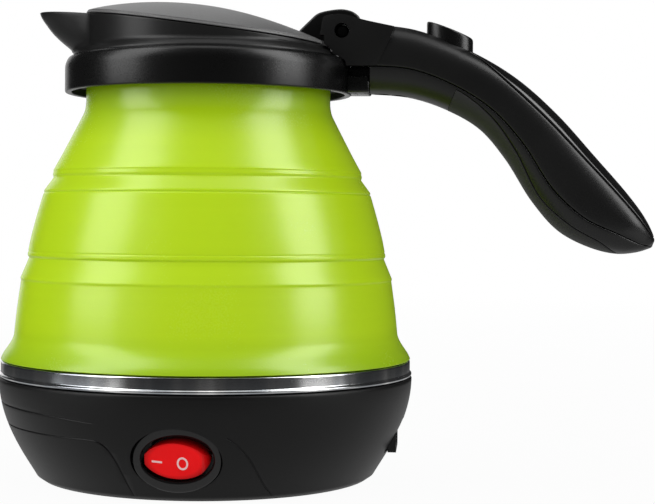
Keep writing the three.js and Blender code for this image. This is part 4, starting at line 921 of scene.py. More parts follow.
def collar_bracket():
    """The block under the handle's head, its rib and the arm that runs into the handle."""
    inside = COLLAR_RADIUS - COLLAR_WALL / 2
    for name, half, foot, end, top, edge, segments in (
            ("collar_block", 9, BLOCK_FOOT, BLOCK_END, BLOCK_TOP, 0.6, 3),
            ("collar_block_rib", 7.6, BLOCK_FOOT - 0.01, COLLAR_RADIUS + 2.4, BLOCK_FOOT + 1.2, 0.3, 2),
            ("collar_arm", 5.6, ARM_TOP - ARM_HEIGHT, ARM_END, ARM_TOP, 0.4, 2)):
        piece = softened(block(name, (inside, -half, foot), (end, half, top)), edge, segments)
        dress(piece, "top", black, "black_plastic")


# Ring with the spout

RING_WALL = 1.9
RIM_HEIGHT = COLLAR_TOP + 6.7
RIM_SLOPE_SHARE = 0.13
RIM_ARC_RADIUS = 500
SPOUT_REACH = 15.8
SPOUT_LIP_RISE = 1.2
SPOUT_HALF = radians(27)
SPOUT_POWER = 1.6
RING_BEAD = COLLAR_MOUTH - 0.7
KEEL_FOOT = COLLAR_TOP + 2 * GAP
# The keel's sweep as a share of the spout's reach, over evenly spaced shares of its height
KEEL_SHARES = [0.1, 0.265, 0.41, 0.52, 0.62, 0.71, 0.785, 0.85, 0.915, 0.968, 1]


def rim_line(x):
    """Height of the sloping rim that the lid closes on."""
    return RIM_HEIGHT - RIM_SLOPE_SHARE * x + x * x / (2 * RIM_ARC_RADIUS)


def spout_shape(angle):
    """The spout's share of its full reach at an angle: 1 at its tip and 0 away from it."""
    share = abs(angle - pi) / SPOUT_HALF
    return cos(pi / 2 * share) ** SPOUT_POWER if share < 1 else 0.0


def ring_top(angle):
    """Height of the ring's upper edge, which rises a little at the spout's lip."""
    return rim_line(NECK_RADIUS * cos(angle)) + SPOUT_LIP_RISE * spout_shape(angle)


def sweep(angle, z):
    """How far the wall has swept out into the spout."""
    if z < KEEL_FOOT:
        return 0.0
    share = min((z - KEEL_FOOT) / (ring_top(angle) - KEEL_FOOT), 1)
    return SPOUT_REACH * smooth_table(KEEL_SHARES, share) * spout_shape(angle)


def ring_angles():
    """Angles round the ring, closer together at the spout."""
    angles, angle = [], 0.0
    while angle < 2 * pi - 1e-6:
        angles.append(angle)
        near = abs(angle - pi) < SPOUT_HALF * 1.15
        angle += 2 * pi / (720 if near else 180)
    return angles


def spout_ring():
    """The ring under the lid: its wall sweeps out into the spout, and its spigot hangs in the neck."""
    seat = NECK_TOP + GAP
    bead_foot = COLLAR_TOP - 2 * GAP
    bead = COLLAR_TOP + GAP
    mouth = COLLAR_MOUTH - GAP
    outer = rounded([
        (mouth, seat, 0), (mouth, bead_foot - 1.6, 0.8), (RING_BEAD - GAP, bead_foot - 0.2, 0.3),
        (RING_BEAD, bead + 0.1, 0.7), (RING_BEAD - 1.1, bead + 1.4, 0.8),
        (NECK_RADIUS + 0.45, bead + 2.1, 0.8), (NECK_RADIUS, bead + 3, 1)], 0.5, 5, closed=False)
    trough = NECK_RADIUS - RING_WALL
    spigot = trough - 0.3
    spigot_inner = spigot - RING_WALL * 0.75
    spigot_foot = reach("spout_ring", LOW, Z)
    inner = [(trough, COLLAR_TOP), (trough, NECK_TOP + 2.3), (spigot_inner, NECK_TOP + 0.4),
             (spigot_inner, spigot_foot + 0.3), (spigot_inner + 0.3, spigot_foot),
             (spigot - 0.3, spigot_foot), (spigot, spigot_foot + 0.3), (spigot, seat)]
    angles = ring_angles()

    def ring(r, height, swept=1.0):
        """One ring of the wall, its height given by angle, with a share of the spout's sweep."""
        points = []
        for angle in angles:
            z = height(angle)
            out = r + sweep(angle, z) * swept
            points.append((out * cos(angle), out * sin(angle), z))
        return points

    top_margin = 0.9
    rings = []
    for k, (r, z) in enumerate(outer):
        drop = top_margin + 0.05 * (len(outer) - k)
        rings.append(ring(r, lambda angle, z=z, drop=drop: min(z, ring_top(angle) - drop)))
    last = outer[-1][1]
    wall_steps = 16
    for k in range(1, wall_steps + 1):
        share = k / wall_steps

        def height(angle, share=share):
            low = min(last, ring_top(angle) - top_margin)
            return low + (ring_top(angle) - 0.3 - low) * share
        rings.append(ring(NECK_RADIUS, height))
    for r, drop in ((0.06, 0.12), (0.22, 0.03), (0.5, 0), (RING_WALL - 0.5, 0), (RING_WALL - 0.2, 0.05),
                    (RING_WALL - 0.04, 0.18)):
        rings.append(ring(NECK_RADIUS - r, lambda angle, drop=drop: ring_top(angle) - drop))
    trough_steps = 9
    for k in range(1, trough_steps):
        share = 1 - k / trough_steps

        def depth(angle, share=share):
            level = KEEL_FOOT + share * (ring_top(angle) - KEEL_FOOT)
            return min(level, ring_top(angle) - 0.5)
        rings.append(ring(trough, depth, 0.97))
    rings.extend(ring(r, lambda angle, z=z: z) for r, z in inner)
    spout = lofted("spout_ring_wall", rings, looped=True, sharp=35)
    dress(spout, "top", matt, "black_plastic", "spout_ring")


# Lid

LID_RISE = 9.3
LID_WALL = 2.1
LID_MIDDLE_SHARE = 0.005
LID_EDGE = LID_WALL / 2
LID_LEAN_SHARE = 0.178
LID_POWER = 0.95
LID_STEPS = 192
ARCH = 7.2
KNUCKLE = 5.2
KNUCKLE_HALF = 7


def lid_ring(radius, share, height):
    """A ring of the lid at a share of its radius, with its height given by x."""
    flat = oval(radius * share, radius * share, LID_STEPS)
    return [(x, y, height(x)) for x, y in flat]


def rim_ring(radius, rise, share=1):
    """A ring that keeps one rise over the sloping rim."""
    return lid_ring(radius, share, lambda x: rim_line(x) + rise)


def dome_height(x, share, radius, rise):
    """Rise of the dome at a share of its radius, lower towards the hinge."""
    lean = 1 - LID_LEAN_SHARE * (max(x, 0) / radius) ** 2
    return rise * lean * max(1 - share * share, 0) ** LID_POWER


def lid_foot(x):
    """Height of the lid's lower edge, a gap over the rim."""
    return rim_line(x) + GAP


def dome_rings(radius, rise, lift, steps):
    """Rings of a dome over the lid's foot, from the middle out."""
    shares = [LID_MIDDLE_SHARE] + [sin(pi / 2 * k / steps) for k in range(1, steps + 1)]
    return [lid_ring(radius, s, lambda x, s=s: lid_foot(x) + lift + dome_height(x, s, radius, rise))
            for s in shares]


def lid_under():
    """The dome's under face."""
    return dome_rings(NECK_RADIUS - LID_WALL, LID_RISE - LID_WALL, 0, 22)


def lid_cover():
    """The domed lid: a thin rim line, a narrow step and the grained dome."""
    step, edge = 0.35, 0.12
    radius = NECK_RADIUS - step
    rim = [rim_ring(r, GAP + rise) for r, rise in (
        (radius, 0.62), (NECK_RADIUS - edge, 0.6), (NECK_RADIUS, 0.45), (NECK_RADIUS, edge),
        (NECK_RADIUS - edge, 0))]
    dome = dome_rings(radius, LID_RISE - LID_EDGE, LID_EDGE, 34)
    cover = lofted("lid_cover", [*dome, *rim, *reversed(lid_under())])
    front = HINGE_X - 1.04 * ARCH - 2 * GAP
    for side in (-1, 1):
        low, high = sorted((side * KNUCKLE_HALF, side * (HEAD_HALF + 2 * GAP)))
        carve(cover, block("notch", (front, low, HINGE_Z - ARCH - OVERRUN),
                           (HINGE_X, high, HINGE_Z + ARCH + OVERRUN)))
    # The dome's grey colour is painted light from above
    dress(cover, "lid", grained, "black_plastic", "lid_dome")


# The knuckle's arch and foot as shares of ARCH from the hinge pin
ARCH_SHARES = [(-2, -0.1), (-1.85, 0.1), (-1.52, 0.42), (-1.12, 0.8), (-0.8, 0.9), (-0.4, 0.97), (0, 1),
               (0.43, 0.9), (0.74, 0.66), (0.78, 0.4)]
KNUCKLE_FOOT_SHARES = [(-0.78, -0.42), (-1.2, -0.47), (-2, -0.5)]
SPRING_POCKET = 4.5
SPRING_POCKET_HALF = 3


def from_hinge(shares):
    """Places in the middle plane, from shares of the arch's size round the hinge pin."""
    return [(HINGE_X + x * ARCH, HINGE_Z + z * ARCH) for x, z in shares]


def hinge_bore(half, steps):
    """The bore of the hinge pin through a piece."""
    return slab("bore", oval(HINGE_BORE, HINGE_BORE, steps, (HINGE_X, HINGE_Z)), half + OVERRUN)


def lid_knuckle():
    """The arch that rises from the lid over the hinge pin."""
    turns = [radians(10 - 9 * i) for i in range(19)]
    barrel = [(HINGE_X + KNUCKLE * cos(turn), HINGE_Z + KNUCKLE * sin(turn)) for turn in turns]
    outline = [*rounded(from_hinge(ARCH_SHARES), 2, closed=False), *barrel, *from_hinge(KNUCKLE_FOOT_SHARES)]
    knuckle = softened(slab("lid_knuckle", outline, KNUCKLE_HALF), width=0.8, segments=4, angle=50)
    inner = NECK_RADIUS - LID_WALL
    below = [rim_ring(inner, GAP - OVERRUN), rim_ring(inner, GAP - OVERRUN, LID_MIDDLE_SHARE)]
    carve(knuckle, lofted("inside", [*lid_under(), *below]), hinge_bore(KNUCKLE_HALF, 32),
          slab("pocket", oval(SPRING_POCKET, SPRING_POCKET, 32, (HINGE_X, HINGE_Z)), SPRING_POCKET_HALF))
    dress(knuckle, "lid", black, "black_plastic")


LINER_RADIUS = reach("lid_liner", HIGH, Y)


def lid_inside():
    """The liner under the dome and the seal in its groove, their heights taken from the rim."""
    foot, floor, groove_foot, groove_top, brim = -5, -3.5, -3.8, -1.6, 0.4
    groove = (LINER_RADIUS - 1.6) / LINER_RADIUS
    inside = (LINER_RADIUS - 3) / LINER_RADIUS
    rows = [(LID_MIDDLE_SHARE, foot), (0.97, foot), (0.99, foot + 0.2), (1, foot + 0.7), (1, groove_foot),
            (groove, groove_foot), (groove, groove_top), (1, groove_top), (1, brim), (inside, brim),
            (inside, floor), (LID_MIDDLE_SHARE, floor)]
    liner = lofted("lid_inner_cup", [rim_ring(LINER_RADIUS, rise, share) for share, rise in rows])
    dress(liner, "lid", black, "black_plastic", "lid_liner")
    back, face, lip = LINER_RADIUS - 1.3, LINER_RADIUS - 0.2, reach("lid_seal", HIGH, Y)
    seal_rows = [(back, -3.5), (face, -3.35), (lip - 0.15, -2.95), (lip, -2.7), (lip - 0.15, -2.45),
                 (face, -2.05), (back, -1.9)]
    seal = lofted("lid_seal_ring", [rim_ring(r, rise) for r, rise in seal_rows], looped=True)
    dress(seal, "lid", pale_seal, "clear_silicone", "lid_seal")


# Handle

HANDLE_ROOT_X = HINGE_X - 7.7
HANDLE_LENGTH = reach("handle_upper_shell", HIGH, X) - HANDLE_ROOT_X
HANDLE_ROOT_Z = HINGE_Z + 5.2
HANDLE_FOOT = HANDLE_ROOT_Z - 73.6
HANDLE_UNDER_Z = BLOCK_FOOT
HANDLE_WALL = 3.2
SKIN = 1.4
PARTING = 0.15
# How full the handle's section is: 1 for an oval, and less for fuller corners
SECTION_POWER = 0.75
# Where the handle's section starts to shrink, how steeply, and by how much at the tip
TIP_START_SHARE = 0.955
TIP_POWER = 2.4
TIP_SHRINK_SHARE = 0.75

# Upper and lower lines of the handle, as shares of its length and of how far each drops
TOP_SHARES = [(0.087, 0.008), (0.166, 0.029), (0.294, 0.057), (0.459, 0.15), (0.587, 0.259), (0.706, 0.408),
              (0.821, 0.59), (0.919, 0.75), (0.966, 0.841), (0.992, 0.912), (1, 0.954)]
UNDER_SHARES = [(0.081, 0), (0.162, 0.001), (0.276, 0.024), (0.385, 0.101), (0.48, 0.218), (0.556, 0.403),
                (0.638, 0.675), (0.716, 0.858), (0.808, 0.96), (0.891, 0.999), (0.98, 0.976)]
# Lines between the handle's pieces as shares of the way from under to top, and its width
PARTING_SHARES = [0.336, 0.36, 0.375, 0.36, 0.33, 0.31, 0.28, 0.34, 0.45, 0.52, 0.55]
PAD_SHARES = [0.33, 0.33, 0.33, 0.32, 0.24, 0.165, 0.09, 0.14, 0.155, 0.005, -0.2]
INLAY_SHARES = [1.2, 1.2, 1.1, 0.97, 0.83, 0.82, 0.86, 0.88, 0.89, 0.93, 1.1]
WIDTH_SHARES = [0.99, 0.99, 0.985, 0.98, 1, 1.04, 1.1, 1.1, 1, 0.72, 0.35]


def handle_line(shares, start):
    """One edge of the handle seen from its side, from where the edge starts."""
    return [Vector((HANDLE_ROOT_X + x * HANDLE_LENGTH, 0, start + z * (HANDLE_FOOT - start)))
            for x, z in shares]


HANDLE_TOP = handle_line(TOP_SHARES, HANDLE_ROOT_Z)
HANDLE_UNDER = handle_line(UNDER_SHARES, HANDLE_UNDER_Z)


def curve_point(points, t):
    """A point of the smooth curve through the points, which leans by their distances."""
    spans = len(points) - 1
    place = min(max(t, 0), 1) * spans
    i = min(int(place), spans - 1)
    w = place - i
    b, c = points[i], points[i + 1]
    a = points[i - 1] if i > 0 else b * 2 - c
    d = points[i + 2] if i + 2 <= spans else c * 2 - b
    ab, bc, cd = ((q - p).length ** 0.5 for p, q in ((a, b), (b, c), (c, d)))
    lean_b = ((b - a) / ab - (c - a) / (ab + bc) + (c - b) / bc) * bc
    lean_c = ((c - b) / bc - (d - b) / (bc + cd) + (d - c) / cd) * bc
    return (b + lean_b * w + (c * 3 - b * 3 - lean_b * 2 - lean_c) * w ** 2
            + (b * 2 - c * 2 + lean_b + lean_c) * w ** 3)


def height_at(line, x):
    """Height of one of the handle's edges at a place along X."""
    points = [curve_point(line, k / 200) for k in range(201)]
    return min(points, key=lambda point: abs(point.x - x)).z


def closing(t):
    """How far the handle's section has shrunk towards its rounded tip."""
    past = (t - TIP_START_SHARE) / (1 - TIP_START_SHARE)
    return 1.0 if past < 0 else max(1 - past ** TIP_POWER * TIP_SHRINK_SHARE, 0.0)


def handle_point(t, turn, inset=0.0):
    """A point of the handle's section at t, turned from its +Y side over the top."""
    top, under = curve_point(HANDLE_TOP, t), curve_point(HANDLE_UNDER, t)
    middle, up = (top + under) / 2, (top - under).normalized()
    half = (top - under).length / 2 * closing(t)
    width = HEAD_HALF * smooth_table(WIDTH_SHARES, t) * closing(t)
    half, width = max(half - inset, 0.2 * half), max(width - inset, 0.2 * width)
    across = copysign(abs(cos(turn)) ** SECTION_POWER, cos(turn)) * width
    rise = copysign(abs(sin(turn)) ** SECTION_POWER, sin(turn)) * half
    place = middle + up * rise
    return (place.x, across, place.z)


def line_turn(shares, t, shift=0.0):
    """Turn at which a line between two pieces crosses the section, moved up by a shift."""
    top, under = curve_point(HANDLE_TOP, t), curve_point(HANDLE_UNDER, t)
    share = smooth_table(shares, t) + shift / (top - under).length
    rise = min(max(2 * share - 1, -1), 1)
    return asin(copysign(abs(rise) ** (1 / SECTION_POWER), rise))


# A small rounded lip at the edge of a piece: degrees along the section, and depth in millimetres
LIP_TURNS = [(0, 0.55), (0, 0.25), (0.6, 0.09), (1.6, 0.02), (3, 0)]


def strip(t, start, end, count, lip_start, lip_end):
    """Points of the section from one turn to another, with rounded lips of given shares at its ends."""
    span = end - start
    size = min(1, abs(span) / radians(12))
    sign = 1 if span >= 0 else -1
    points = [handle_point(t, start + sign * radians(turn) * size, depth * lip_start * size)
              for turn, depth in LIP_TURNS]
    margin = sign * radians(LIP_TURNS[-1][0]) * size
    points += [handle_point(t, start + margin + (span - 2 * margin) * k / count) for k in range(1, count)]
    return points + [handle_point(t, end - sign * radians(turn) * size, depth * lip_end * size)
                     for turn, depth in reversed(LIP_TURNS)]


def mirrored(points):
    """The same points on the handle's other side, in the order that carries the ring on."""
    return [(x, -y, z) for x, y, z in reversed(points)]


def arc(t, start, end, count, inset):
    """Points of the section from one turn to another."""
    return [handle_point(t, start + (end - start) * k / count, inset) for k in range(count + 1)]


def handle_steps(start, end, count):
    """Places along the handle, closer together at its tip."""
    tip, tip_steps = 0.04, 14
    places = [start + (end - start) * k / count for k in range(count + 1)]
    extra = [1 - tip + tip * k / tip_steps for k in range(tip_steps + 1)]
    return sorted({round(t, 5) for t in [*places, *extra] if start <= t <= end})


# Where the handle's pieces start and end along it, and the gaps and steps there, all as shares
HANDLE_START = 0.0975
UNDER_START = 0.0925
INLAY_START, INLAY_END = 0.279, 0.94
INLAY_START_GAP, INLAY_END_GAP = 0.004, 0.003
PAD_START, PAD_END = 0.3, 0.9
PAD_START_GAP, PAD_END_GAP = 0.0006, 0.001
PAD_SEAT_STEP = 0.0004
PAD_FADE = 0.05
SHELL_STEPS = 150
# Lips of the let-in pieces and of the inlay's seat, as shares of a shell's own lip
SKIN_LIP_SHARE = 0.8
SEAT_LIP_SHARE = 2.6
SEAT_DEPTH = SKIN + GAP
SCREW_PLACES = [BLOCK_END + 3.8, BLOCK_END + 3.8 + 5.4]
SCREW_WELL = 2.5
SCREW_SEAT = 1.8
SHORT_SCREW_HEAD = 2.2


def share_open(t, start, end, ease=0.02):
    """How deep the seat of a let-in piece is at t, from 0 outside it to 1."""
    return min(max(min((t - start) / ease, (end - t) / ease), 0), 1)


def upper_shell():
    """The handle's upper half, with the seat of the polished inlay and the button's well."""
    rings = []
    for t in handle_steps(HANDLE_START, 1, SHELL_STEPS):
        low = line_turn(PARTING_SHARES, t, PARTING)
        open_seat = share_open(t, INLAY_START, INLAY_END)
        high = max(min(line_turn(INLAY_SHARES, t, -PARTING), pi / 2), low + radians(4))
        if open_seat == 0:
            high = pi / 2 - radians(1)
        side = strip(t, low, high, 14, 1, SEAT_LIP_SHARE * open_seat)
        floor = arc(t, high, pi - high, 10, SEAT_DEPTH * open_seat)
        inner = arc(t, pi - low, low, 18, HANDLE_WALL)
        rings.append([*side, *floor, *mirrored(side), *inner])
    shell = lofted("handle_top_half", rings, sharp=50)
    carve(shell, button_well(), sharp=50)
    dress(shell, "top", casing, "black_plastic", "handle_upper_shell")


def lower_shell():
    """The handle's lower half, with the seat of the grip pad and the wells of its screws."""
    lowest = radians(3) - pi / 2
    rings = []
    seat_ends = [PAD_START - PAD_SEAT_STEP, PAD_END + PAD_SEAT_STEP]
    for t in sorted([*handle_steps(UNDER_START, 1, SHELL_STEPS), *seat_ends]):
        high = line_turn(PARTING_SHARES, t, -PARTING)
        inside = PAD_START <= t <= PAD_END
        low = max(line_turn(PAD_SHARES, t, PARTING), lowest) if t < PAD_END + PAD_FADE else lowest
        low = min(low, high - radians(3))
        side = strip(t, high, low, 12, 1, 1 if inside else 0)
        floor = arc(t, low, -pi - low, 14, SEAT_DEPTH if inside else 0)
        inner = arc(t, -pi - high, high, 18, HANDLE_WALL)
        rings.append([*side, *floor, *mirrored(side), *inner])
    shell = lofted("handle_under_half", rings, sharp=50)
    for x in SCREW_PLACES:
        seat = height_at(HANDLE_UNDER, x) + SCREW_SEAT
        carve(shell, plug(SCREW_WELL, seat - 2 * OVERRUN, seat, (x, 0), 40), sharp=50)
    dress(shell, "top", casing, "black_plastic", "handle_lower_shell")


def grip_pad():
    """The soft pad let into the handle's under side."""
    rings = []
    for t in handle_steps(PAD_START + PAD_START_GAP, PAD_END - PAD_END_GAP, 110):
        parting = line_turn(PARTING_SHARES, t, -PARTING)
        turn = max(min(line_turn(PAD_SHARES, t, -PARTING), parting - radians(3)), radians(2) - pi / 2)
        outer = strip(t, turn, -pi - turn, 40, SKIN_LIP_SHARE, SKIN_LIP_SHARE)
        inner = arc(t, -pi - turn, turn, 30, SKIN)
        rings.append([*outer, *inner])
    pad = lofted("soft_grip_pad", rings, sharp=50)
    dress(pad, "top", soft, "soft_grip", "grip_pad")


def gloss_inlay():
    """The polished strip let into the handle's back."""
    rings = []
    for t in handle_steps(INLAY_START + INLAY_START_GAP, INLAY_END - INLAY_END_GAP, 120):
        turn = min(line_turn(INLAY_SHARES, t, PARTING), pi / 2 - radians(1.5))
        outer = strip(t, turn, pi - turn, 26, SKIN_LIP_SHARE, SKIN_LIP_SHARE)
        inner = arc(t, pi - turn, turn, 20, SKIN)
        rings.append([*outer, *inner])
    inlay = lofted("gloss_top_inlay", rings, sharp=50)
    carve(inlay, button_well(), sharp=50)
    dress(inlay, "top", glossy, "gloss_black", "top_inlay")


HEAD_END = 59
CHEEK_WALL = 3
PASSAGE_HALF = 2.7


def handle_head():
    """Two cheeks that hold the hinge pin, joined behind the knuckle."""
    x, z, a = HINGE_X, HINGE_Z, ARCH
    outline = rounded([
        (x - 1.04 * a, z - 0.9 * a, 0.8), (x - 0.8 * a, z + 0.62 * a, 1.4), (x, z + 0.73 * a, 3),
        (x + 0.86 * a, z + 0.47 * a, 3), (HEAD_END, z + 0.175 * a, 0.3), (HEAD_END - 0.7, z - 0.1 * a, 0.3),
        (HEAD_END - 5.4, z - 1.5 * a, 0.5), (x - 0.6 * a, z - 1.5 * a, 0.8)], 0.5, 5)
    head = slab("handle_head", outline, HEAD_HALF)
    slot_end, slot_half, past_end = x + a + 3.5 * GAP, KNUCKLE_HALF + GAP, HEAD_END + 11
    hollow_start, hollow_half = slot_end + 2.6, HEAD_HALF - CHEEK_WALL
    carve(head,
          block("slot", (HANDLE_ROOT_X - OVERRUN, -slot_half, COLLAR_FOOT),
                (slot_end, slot_half, z + a + OVERRUN)),
          block("passage", (x, -PASSAGE_HALF, ARM_TOP), (past_end, PASSAGE_HALF, z - 1.5)),
          block("hollow", (hollow_start, -hollow_half, z - 2 * a), (past_end, hollow_half, z - 0.1 * a)))
    softened(head, width=0.7, segments=3, angle=50)
    room = turned("room", rounded([
        (AXIS, COLLAR_FOOT - OVERRUN, 0), (COLLAR_RADIUS + GAP, COLLAR_FOOT - OVERRUN, 0),
        (COLLAR_RADIUS + GAP, COLLAR_TOP - 1.5, 1), (COLLAR_RADIUS - 2.6, COLLAR_TOP + GAP, 0.5),
        (RING_BEAD + GAP, COLLAR_TOP + 2 * GAP, 0), (RING_BEAD + GAP, COLLAR_TOP + RING_WALL, 0.5),
        (NECK_RADIUS + GAP, COLLAR_TOP + 2 * RING_WALL, 0), (NECK_RADIUS + GAP, RIM_HEIGHT - GAP, 0),
        (AXIS, RIM_HEIGHT - GAP, 0)], 0.3))
    carve(head, hinge_bore(HEAD_HALF, 48), room)
    dress(head, "top", casing, "black_plastic")


def hinge_rod():
    """The pin that the lid turns on."""
    r, half, edge = HINGE_BORE - GAP, HEAD_HALF - CHEEK_WALL, 0.5
    rod = turned("hinge_rod", [(AXIS, -half), (r - edge, -half), (r, edge - half), (r, half - edge),
                               (r - edge, half), (AXIS, half)], 40)
    # Its near-black colour is painted shade for the holes in the cheeks
    dress(placed(rod, (HINGE_X, 0, HINGE_Z), pi / 2, "X"), "top", pin_shade_dark, "plated_steel", "hinge_pin")


def handle_screws():
    """The two short screws that hold the handle to the collar's arm."""
    for i, x in enumerate(SCREW_PLACES):
        node = f"handle_screw_{i + 1}"
        screw = headed_screw(f"short_screw_{i + 1}", node, (x, 0), reach(node, LOW, Z), SHORT_SCREW_HEAD,
                             chamfer=0.3, point=1.2, corner=0.2, slot_half=1.3, turn=0.4)
        dress(screw, "top", zinc, "plated_steel", node)


# Release button: its place along the handle, its sizes and the slope that it lies on

BUTTON_X = HANDLE_ROOT_X + 41.05
BUTTON_HALF_LENGTH = 7.25
BUTTON_HALF_WIDTH = 5.75
BUTTON_PROUD = 4
BUTTON_SLOPE_SHARE = 0.394
BUTTON_SEAT = height_at(HANDLE_TOP, BUTTON_X)
BUTTON_DEPTH = 4.4


def on_slope(obj):
    """Lays a piece drawn level on the handle's slope at the button, its sides left upright."""
    shear = Matrix.Identity(4)
    shear[2][0] = -BUTTON_SLOPE_SHARE
    obj.data.transform(shear)
    return placed(obj, (BUTTON_X, 0, BUTTON_SEAT))


def button_well():
    """The well that the button moves in, as a cutter."""
    outline = oval(BUTTON_HALF_LENGTH + GAP, BUTTON_HALF_WIDTH + GAP, 96)
    return on_slope(prism("button_well", outline, -HANDLE_WALL - OVERRUN, 2 * OVERRUN))


def thumb_button():
    """The button's crown: upright sides, a rounded brow and a shallow dish for the thumb."""
    foot = -BUTTON_DEPTH - BUTTON_PROUD
    # Shares of its outline, and heights from its highest line
    rows = [(0.3, foot), (1, foot), (1, -1), (0.993, -0.5), (0.975, -0.2), (0.94, -0.04), (0.9, 0),
            (0.84, -0.05), (0.7, -0.28), (0.5, -0.5), (0.25, -0.62), (0.02, -0.66)]
    rings = [[(x, y, BUTTON_PROUD + z) for x, y in oval(BUTTON_HALF_LENGTH * s, BUTTON_HALF_WIDTH * s, 96)]
             for s, z in rows]
    crown = on_slope(lofted("thumb_button", rings))
    dress(crown, "button", black, "black_plastic", "release_button")


# Hidden pieces

def finish_hidden():
    """Finishes for the CAD pieces that stay as they are."""
    for material, slot, nodes in (
            (zinc, "stainless_steel", ["clamp_ring"]),
            (aluminium, "cast_aluminium", ["heat_spreader", "heating_element"]),
            (zinc, "plated_steel", ["element_pin_1", "element_pin_2", "thermostat_bracket"]),
            (ceramic, "ceramic", ["thermostat"]),
            (brass, "brass_contacts", ["switch_terminal_1", "switch_terminal_2"]),
            (spring_steel, "spring_steel", ["lid_spring", "button_spring", "bolt_spring"]),
            (black, "black_plastic", ["release_bolt"])):
        for name in nodes:
            paint(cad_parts[name], material, slot)


# Studio

FLOOR_HEIGHT = -FOOT_HEIGHT
FLOOR_RADIUS = 1500
AIM_HEIGHT = 100
CAMERA_AZIMUTH = radians(8.396)
CAMERA_DISTANCE = 502.501
CAMERA_HEIGHT = 81.253
CAMERA_YAW = radians(4.336)
CAMERA_PITCH = radians(1.226)
CAMERA_ROLL = radians(0.453)
SENSOR_WIDTH = 36
IMAGE_WIDTH = 655
FOCAL_PIXELS = 1576.371


def white_room():
    """A world that looks white to the camera and in reflections, and lights the object softly."""
    look = Look("white_room", world=True)
    seen = look.node("ShaderNodeLightPath", output="Is Camera Ray")
    for ray in ("Is Glossy Ray", "Is Transmission Ray"):
        seen = look.node("ShaderNodeMath", {"operation": "MAXIMUM"}, seen,
                         look.node("ShaderNodeLightPath", output=ray))
    fill = look.node("ShaderNodeBackground", None, grey(1), 0.76)
    white = look.node("ShaderNodeBackground", None, grey(1), 1.0)
    bpy.context.scene.world = look.show(look.node("ShaderNodeMixShader", None, seen, fill, white))


def pale_floor():
    """The table: it looks white, keeps the kettle's shadow and fades into the room."""
    steps = 64
    rim = [(x, y, FLOOR_HEIGHT) for x, y in oval(FLOOR_RADIUS, FLOOR_RADIUS, steps)]
    floor = mesh_object("pale_floor", rim, [tuple(range(steps))])
    look = Look("pale_floor")
    seen = look.node("ShaderNodeLightPath", output="Is Camera Ray")
    in_gloss = look.node("ShaderNodeLightPath", output="Is Glossy Ray")
    # How far a point lies from the kettle's axis, in metres
    far = look.node("ShaderNodeVectorMath", {"operation": "LENGTH"}, look.place(), output="Value")
    mirrored_table = look.blend(far.above(0.3, 0.3), grey(0.6), grey(0.05))
    glow = look.node("ShaderNodeEmission", None, look.blend(in_gloss, grey(1), mirrored_table), 1.0)
    table = look.node("ShaderNodeBsdfDiffuse", None, grey(0.55))
    lit = look.node("ShaderNodeMixShader", None, seen * 0.96 + in_gloss, table, glow)
    clear = look.node("ShaderNodeBsdfTransparent", None, grey(1))
    faded = look.node("ShaderNodeMixShader", None, far.above(0.75, 1.0), lit, clear)
    floor.data.materials.append(look.show(faded))


def round_camera(azimuth, distance, height):
    """A place round the kettle's axis, in degrees from the camera's side."""
    angle = CAMERA_AZIMUTH + radians(azimuth)
    return Vector((distance * sin(angle), -distance * cos(angle), height))


def face_kettle(obj, place):
    """Puts a lamp or card at its place and turns it to the middle of the kettle."""
    obj.location = place * MM
    obj.rotation_mode = "QUATERNION"
    obj.rotation_quaternion = (Vector((0, 0, AIM_HEIGHT)) - place).to_track_quat("-Z", "Y")


def soft_lamp(name, azimuth, distance, height, width, tall, radiance):
    """A broad lamp that lights the kettle; what shines back from it is left to the cards."""
    lamp = bpy.data.lights.new(name, "AREA")
    lamp.shape = "RECTANGLE"
    lamp.size, lamp.size_y = width * MM, tall * MM
    lamp.energy = radiance * pi * width * tall * MM * MM
    obj = bpy.data.objects.new(name, lamp)
    bpy.context.scene.collection.objects.link(obj)
    face_kettle(obj, round_camera(azimuth, distance, height))
    obj.visible_glossy = False


def glow_in_gloss(obj, radiance):
    """Lets a sheet of the studio shine, for the glossy surfaces alone."""
    look = Look(obj.name)
    obj.data.materials.append(look.show(look.node("ShaderNodeEmission", None, grey(1), radiance)))
    obj.visible_camera = obj.visible_diffuse = obj.visible_transmission = obj.visible_shadow = False


def reflected_card(name, azimuth, distance, height, width, tall, radiance):
    """A bright card that the glossy surfaces mirror."""
    w, h = width / 2, tall / 2
    card = mesh_object(name, [(-w, -h, 0), (w, -h, 0), (w, h, 0), (-w, h, 0)], [(0, 1, 2, 3)])
    face_kettle(card, round_camera(azimuth, distance, height))
    glow_in_gloss(card, radiance)


def table_board(name, left, right, radiance):
    """A pale board laid on the table beside the camera, that the steel band mirrors."""
    steps, near, far, lift = 8, 210, 900, 1
    turns = [left + (right - left) * k / steps for k in range(steps + 1)]
    rim = [round_camera(turn, near, FLOOR_HEIGHT + lift) for turn in turns]
    rim += [round_camera(turn, far, FLOOR_HEIGHT + lift) for turn in reversed(turns)]
    glow_in_gloss(mesh_object(name, rim, [tuple(range(len(rim)))]), radiance)


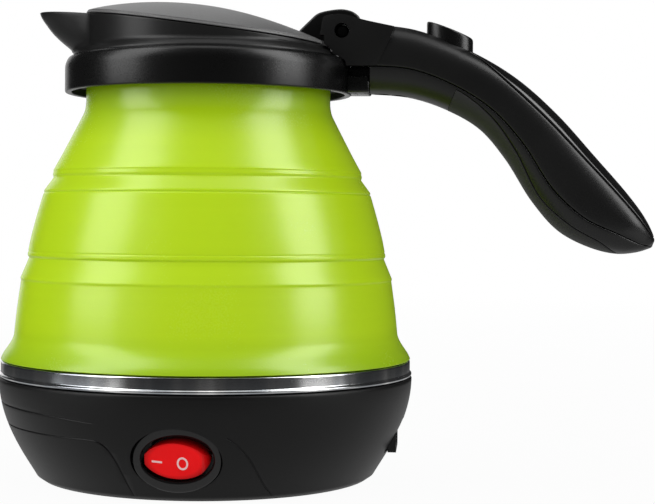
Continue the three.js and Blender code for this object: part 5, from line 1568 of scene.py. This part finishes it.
def dark_studio():
    """The unlit side of the studio, round and above the camera, that the glossy surfaces mirror."""
    radius, left, right, columns, rows, low, high = 2400, -152, 172, 60, 20, -8, 84
    verts = []
    for k in range(columns + 1):
        for j in range(rows + 1):
            tilt = radians(low + (high - low) * j / rows)
            verts.append(round_camera(left + (right - left) * k / columns, radius * cos(tilt),
                                      radius * sin(tilt)))
    step = rows + 1
    faces = [(k * step + j, (k + 1) * step + j, (k + 1) * step + j + 1, k * step + j + 1)
             for k in range(columns) for j in range(rows)]
    glow_in_gloss(mesh_object("dark_studio", verts, faces), 0.035)


def place_camera():
    """The photograph's camera, fitted to the kettle's round edges."""
    camera = bpy.data.cameras.new("camera")
    camera.sensor_width = SENSOR_WIDTH
    camera.lens = FOCAL_PIXELS / IMAGE_WIDTH * SENSOR_WIDTH
    holder = bpy.data.objects.new("camera", camera)
    bpy.context.scene.collection.objects.link(holder)
    holder.location = round_camera(0, CAMERA_DISTANCE, CAMERA_HEIGHT) * MM
    heading = CAMERA_AZIMUTH - CAMERA_YAW
    forward = Vector((-sin(heading), cos(heading), 0)) * cos(CAMERA_PITCH)
    forward.z = -sin(CAMERA_PITCH)
    holder.rotation_mode = "QUATERNION"
    holder.rotation_quaternion = forward.to_track_quat("-Z", "Y") @ Quaternion((0, 0, 1), CAMERA_ROLL)
    bpy.context.scene.camera = holder


def studio():
    """The room, its lamps and what the glossy surfaces mirror: degrees, millimetres and radiance."""
    white_room()
    pale_floor()
    soft_lamp("left_lamp", -50, 950, 380, 600, 600, 1.6)
    soft_lamp("right_lamp", 50, 950, 380, 600, 600, 1.8)
    soft_lamp("top_lamp", -85, 850, 750, 700, 500, 2.2)
    dark_studio()
    reflected_card("left_card", -70, 900, 580, 560, 960, 4.2)
    reflected_card("right_card", 66, 900, 580, 500, 960, 6)
    reflected_card("left_high_card", -68, 560, 1120, 560, 360, 4.5)
    reflected_card("right_high_card", 66, 560, 1120, 500, 360, 4)
    reflected_card("top_card", 0, 100, 1150, 1000, 700, 1.2)
    table_board("left_board", -86, -44, 0.9)
    table_board("right_board", 48, 76, 0.9)
    place_camera()
    bpy.context.scene.view_settings.view_transform = "Standard"


for make in (base_shell, switch_bezel, switch_well, rocker_button, rocker_marks, mains_socket, underside,
             steel_band, silicone_body, collar_ring, collar_bracket, spout_ring, lid_cover, lid_knuckle,
             lid_inside, upper_shell, lower_shell, grip_pad, gloss_inlay, handle_head, hinge_rod,
             handle_screws, thumb_button, finish_hidden, studio):
    make()
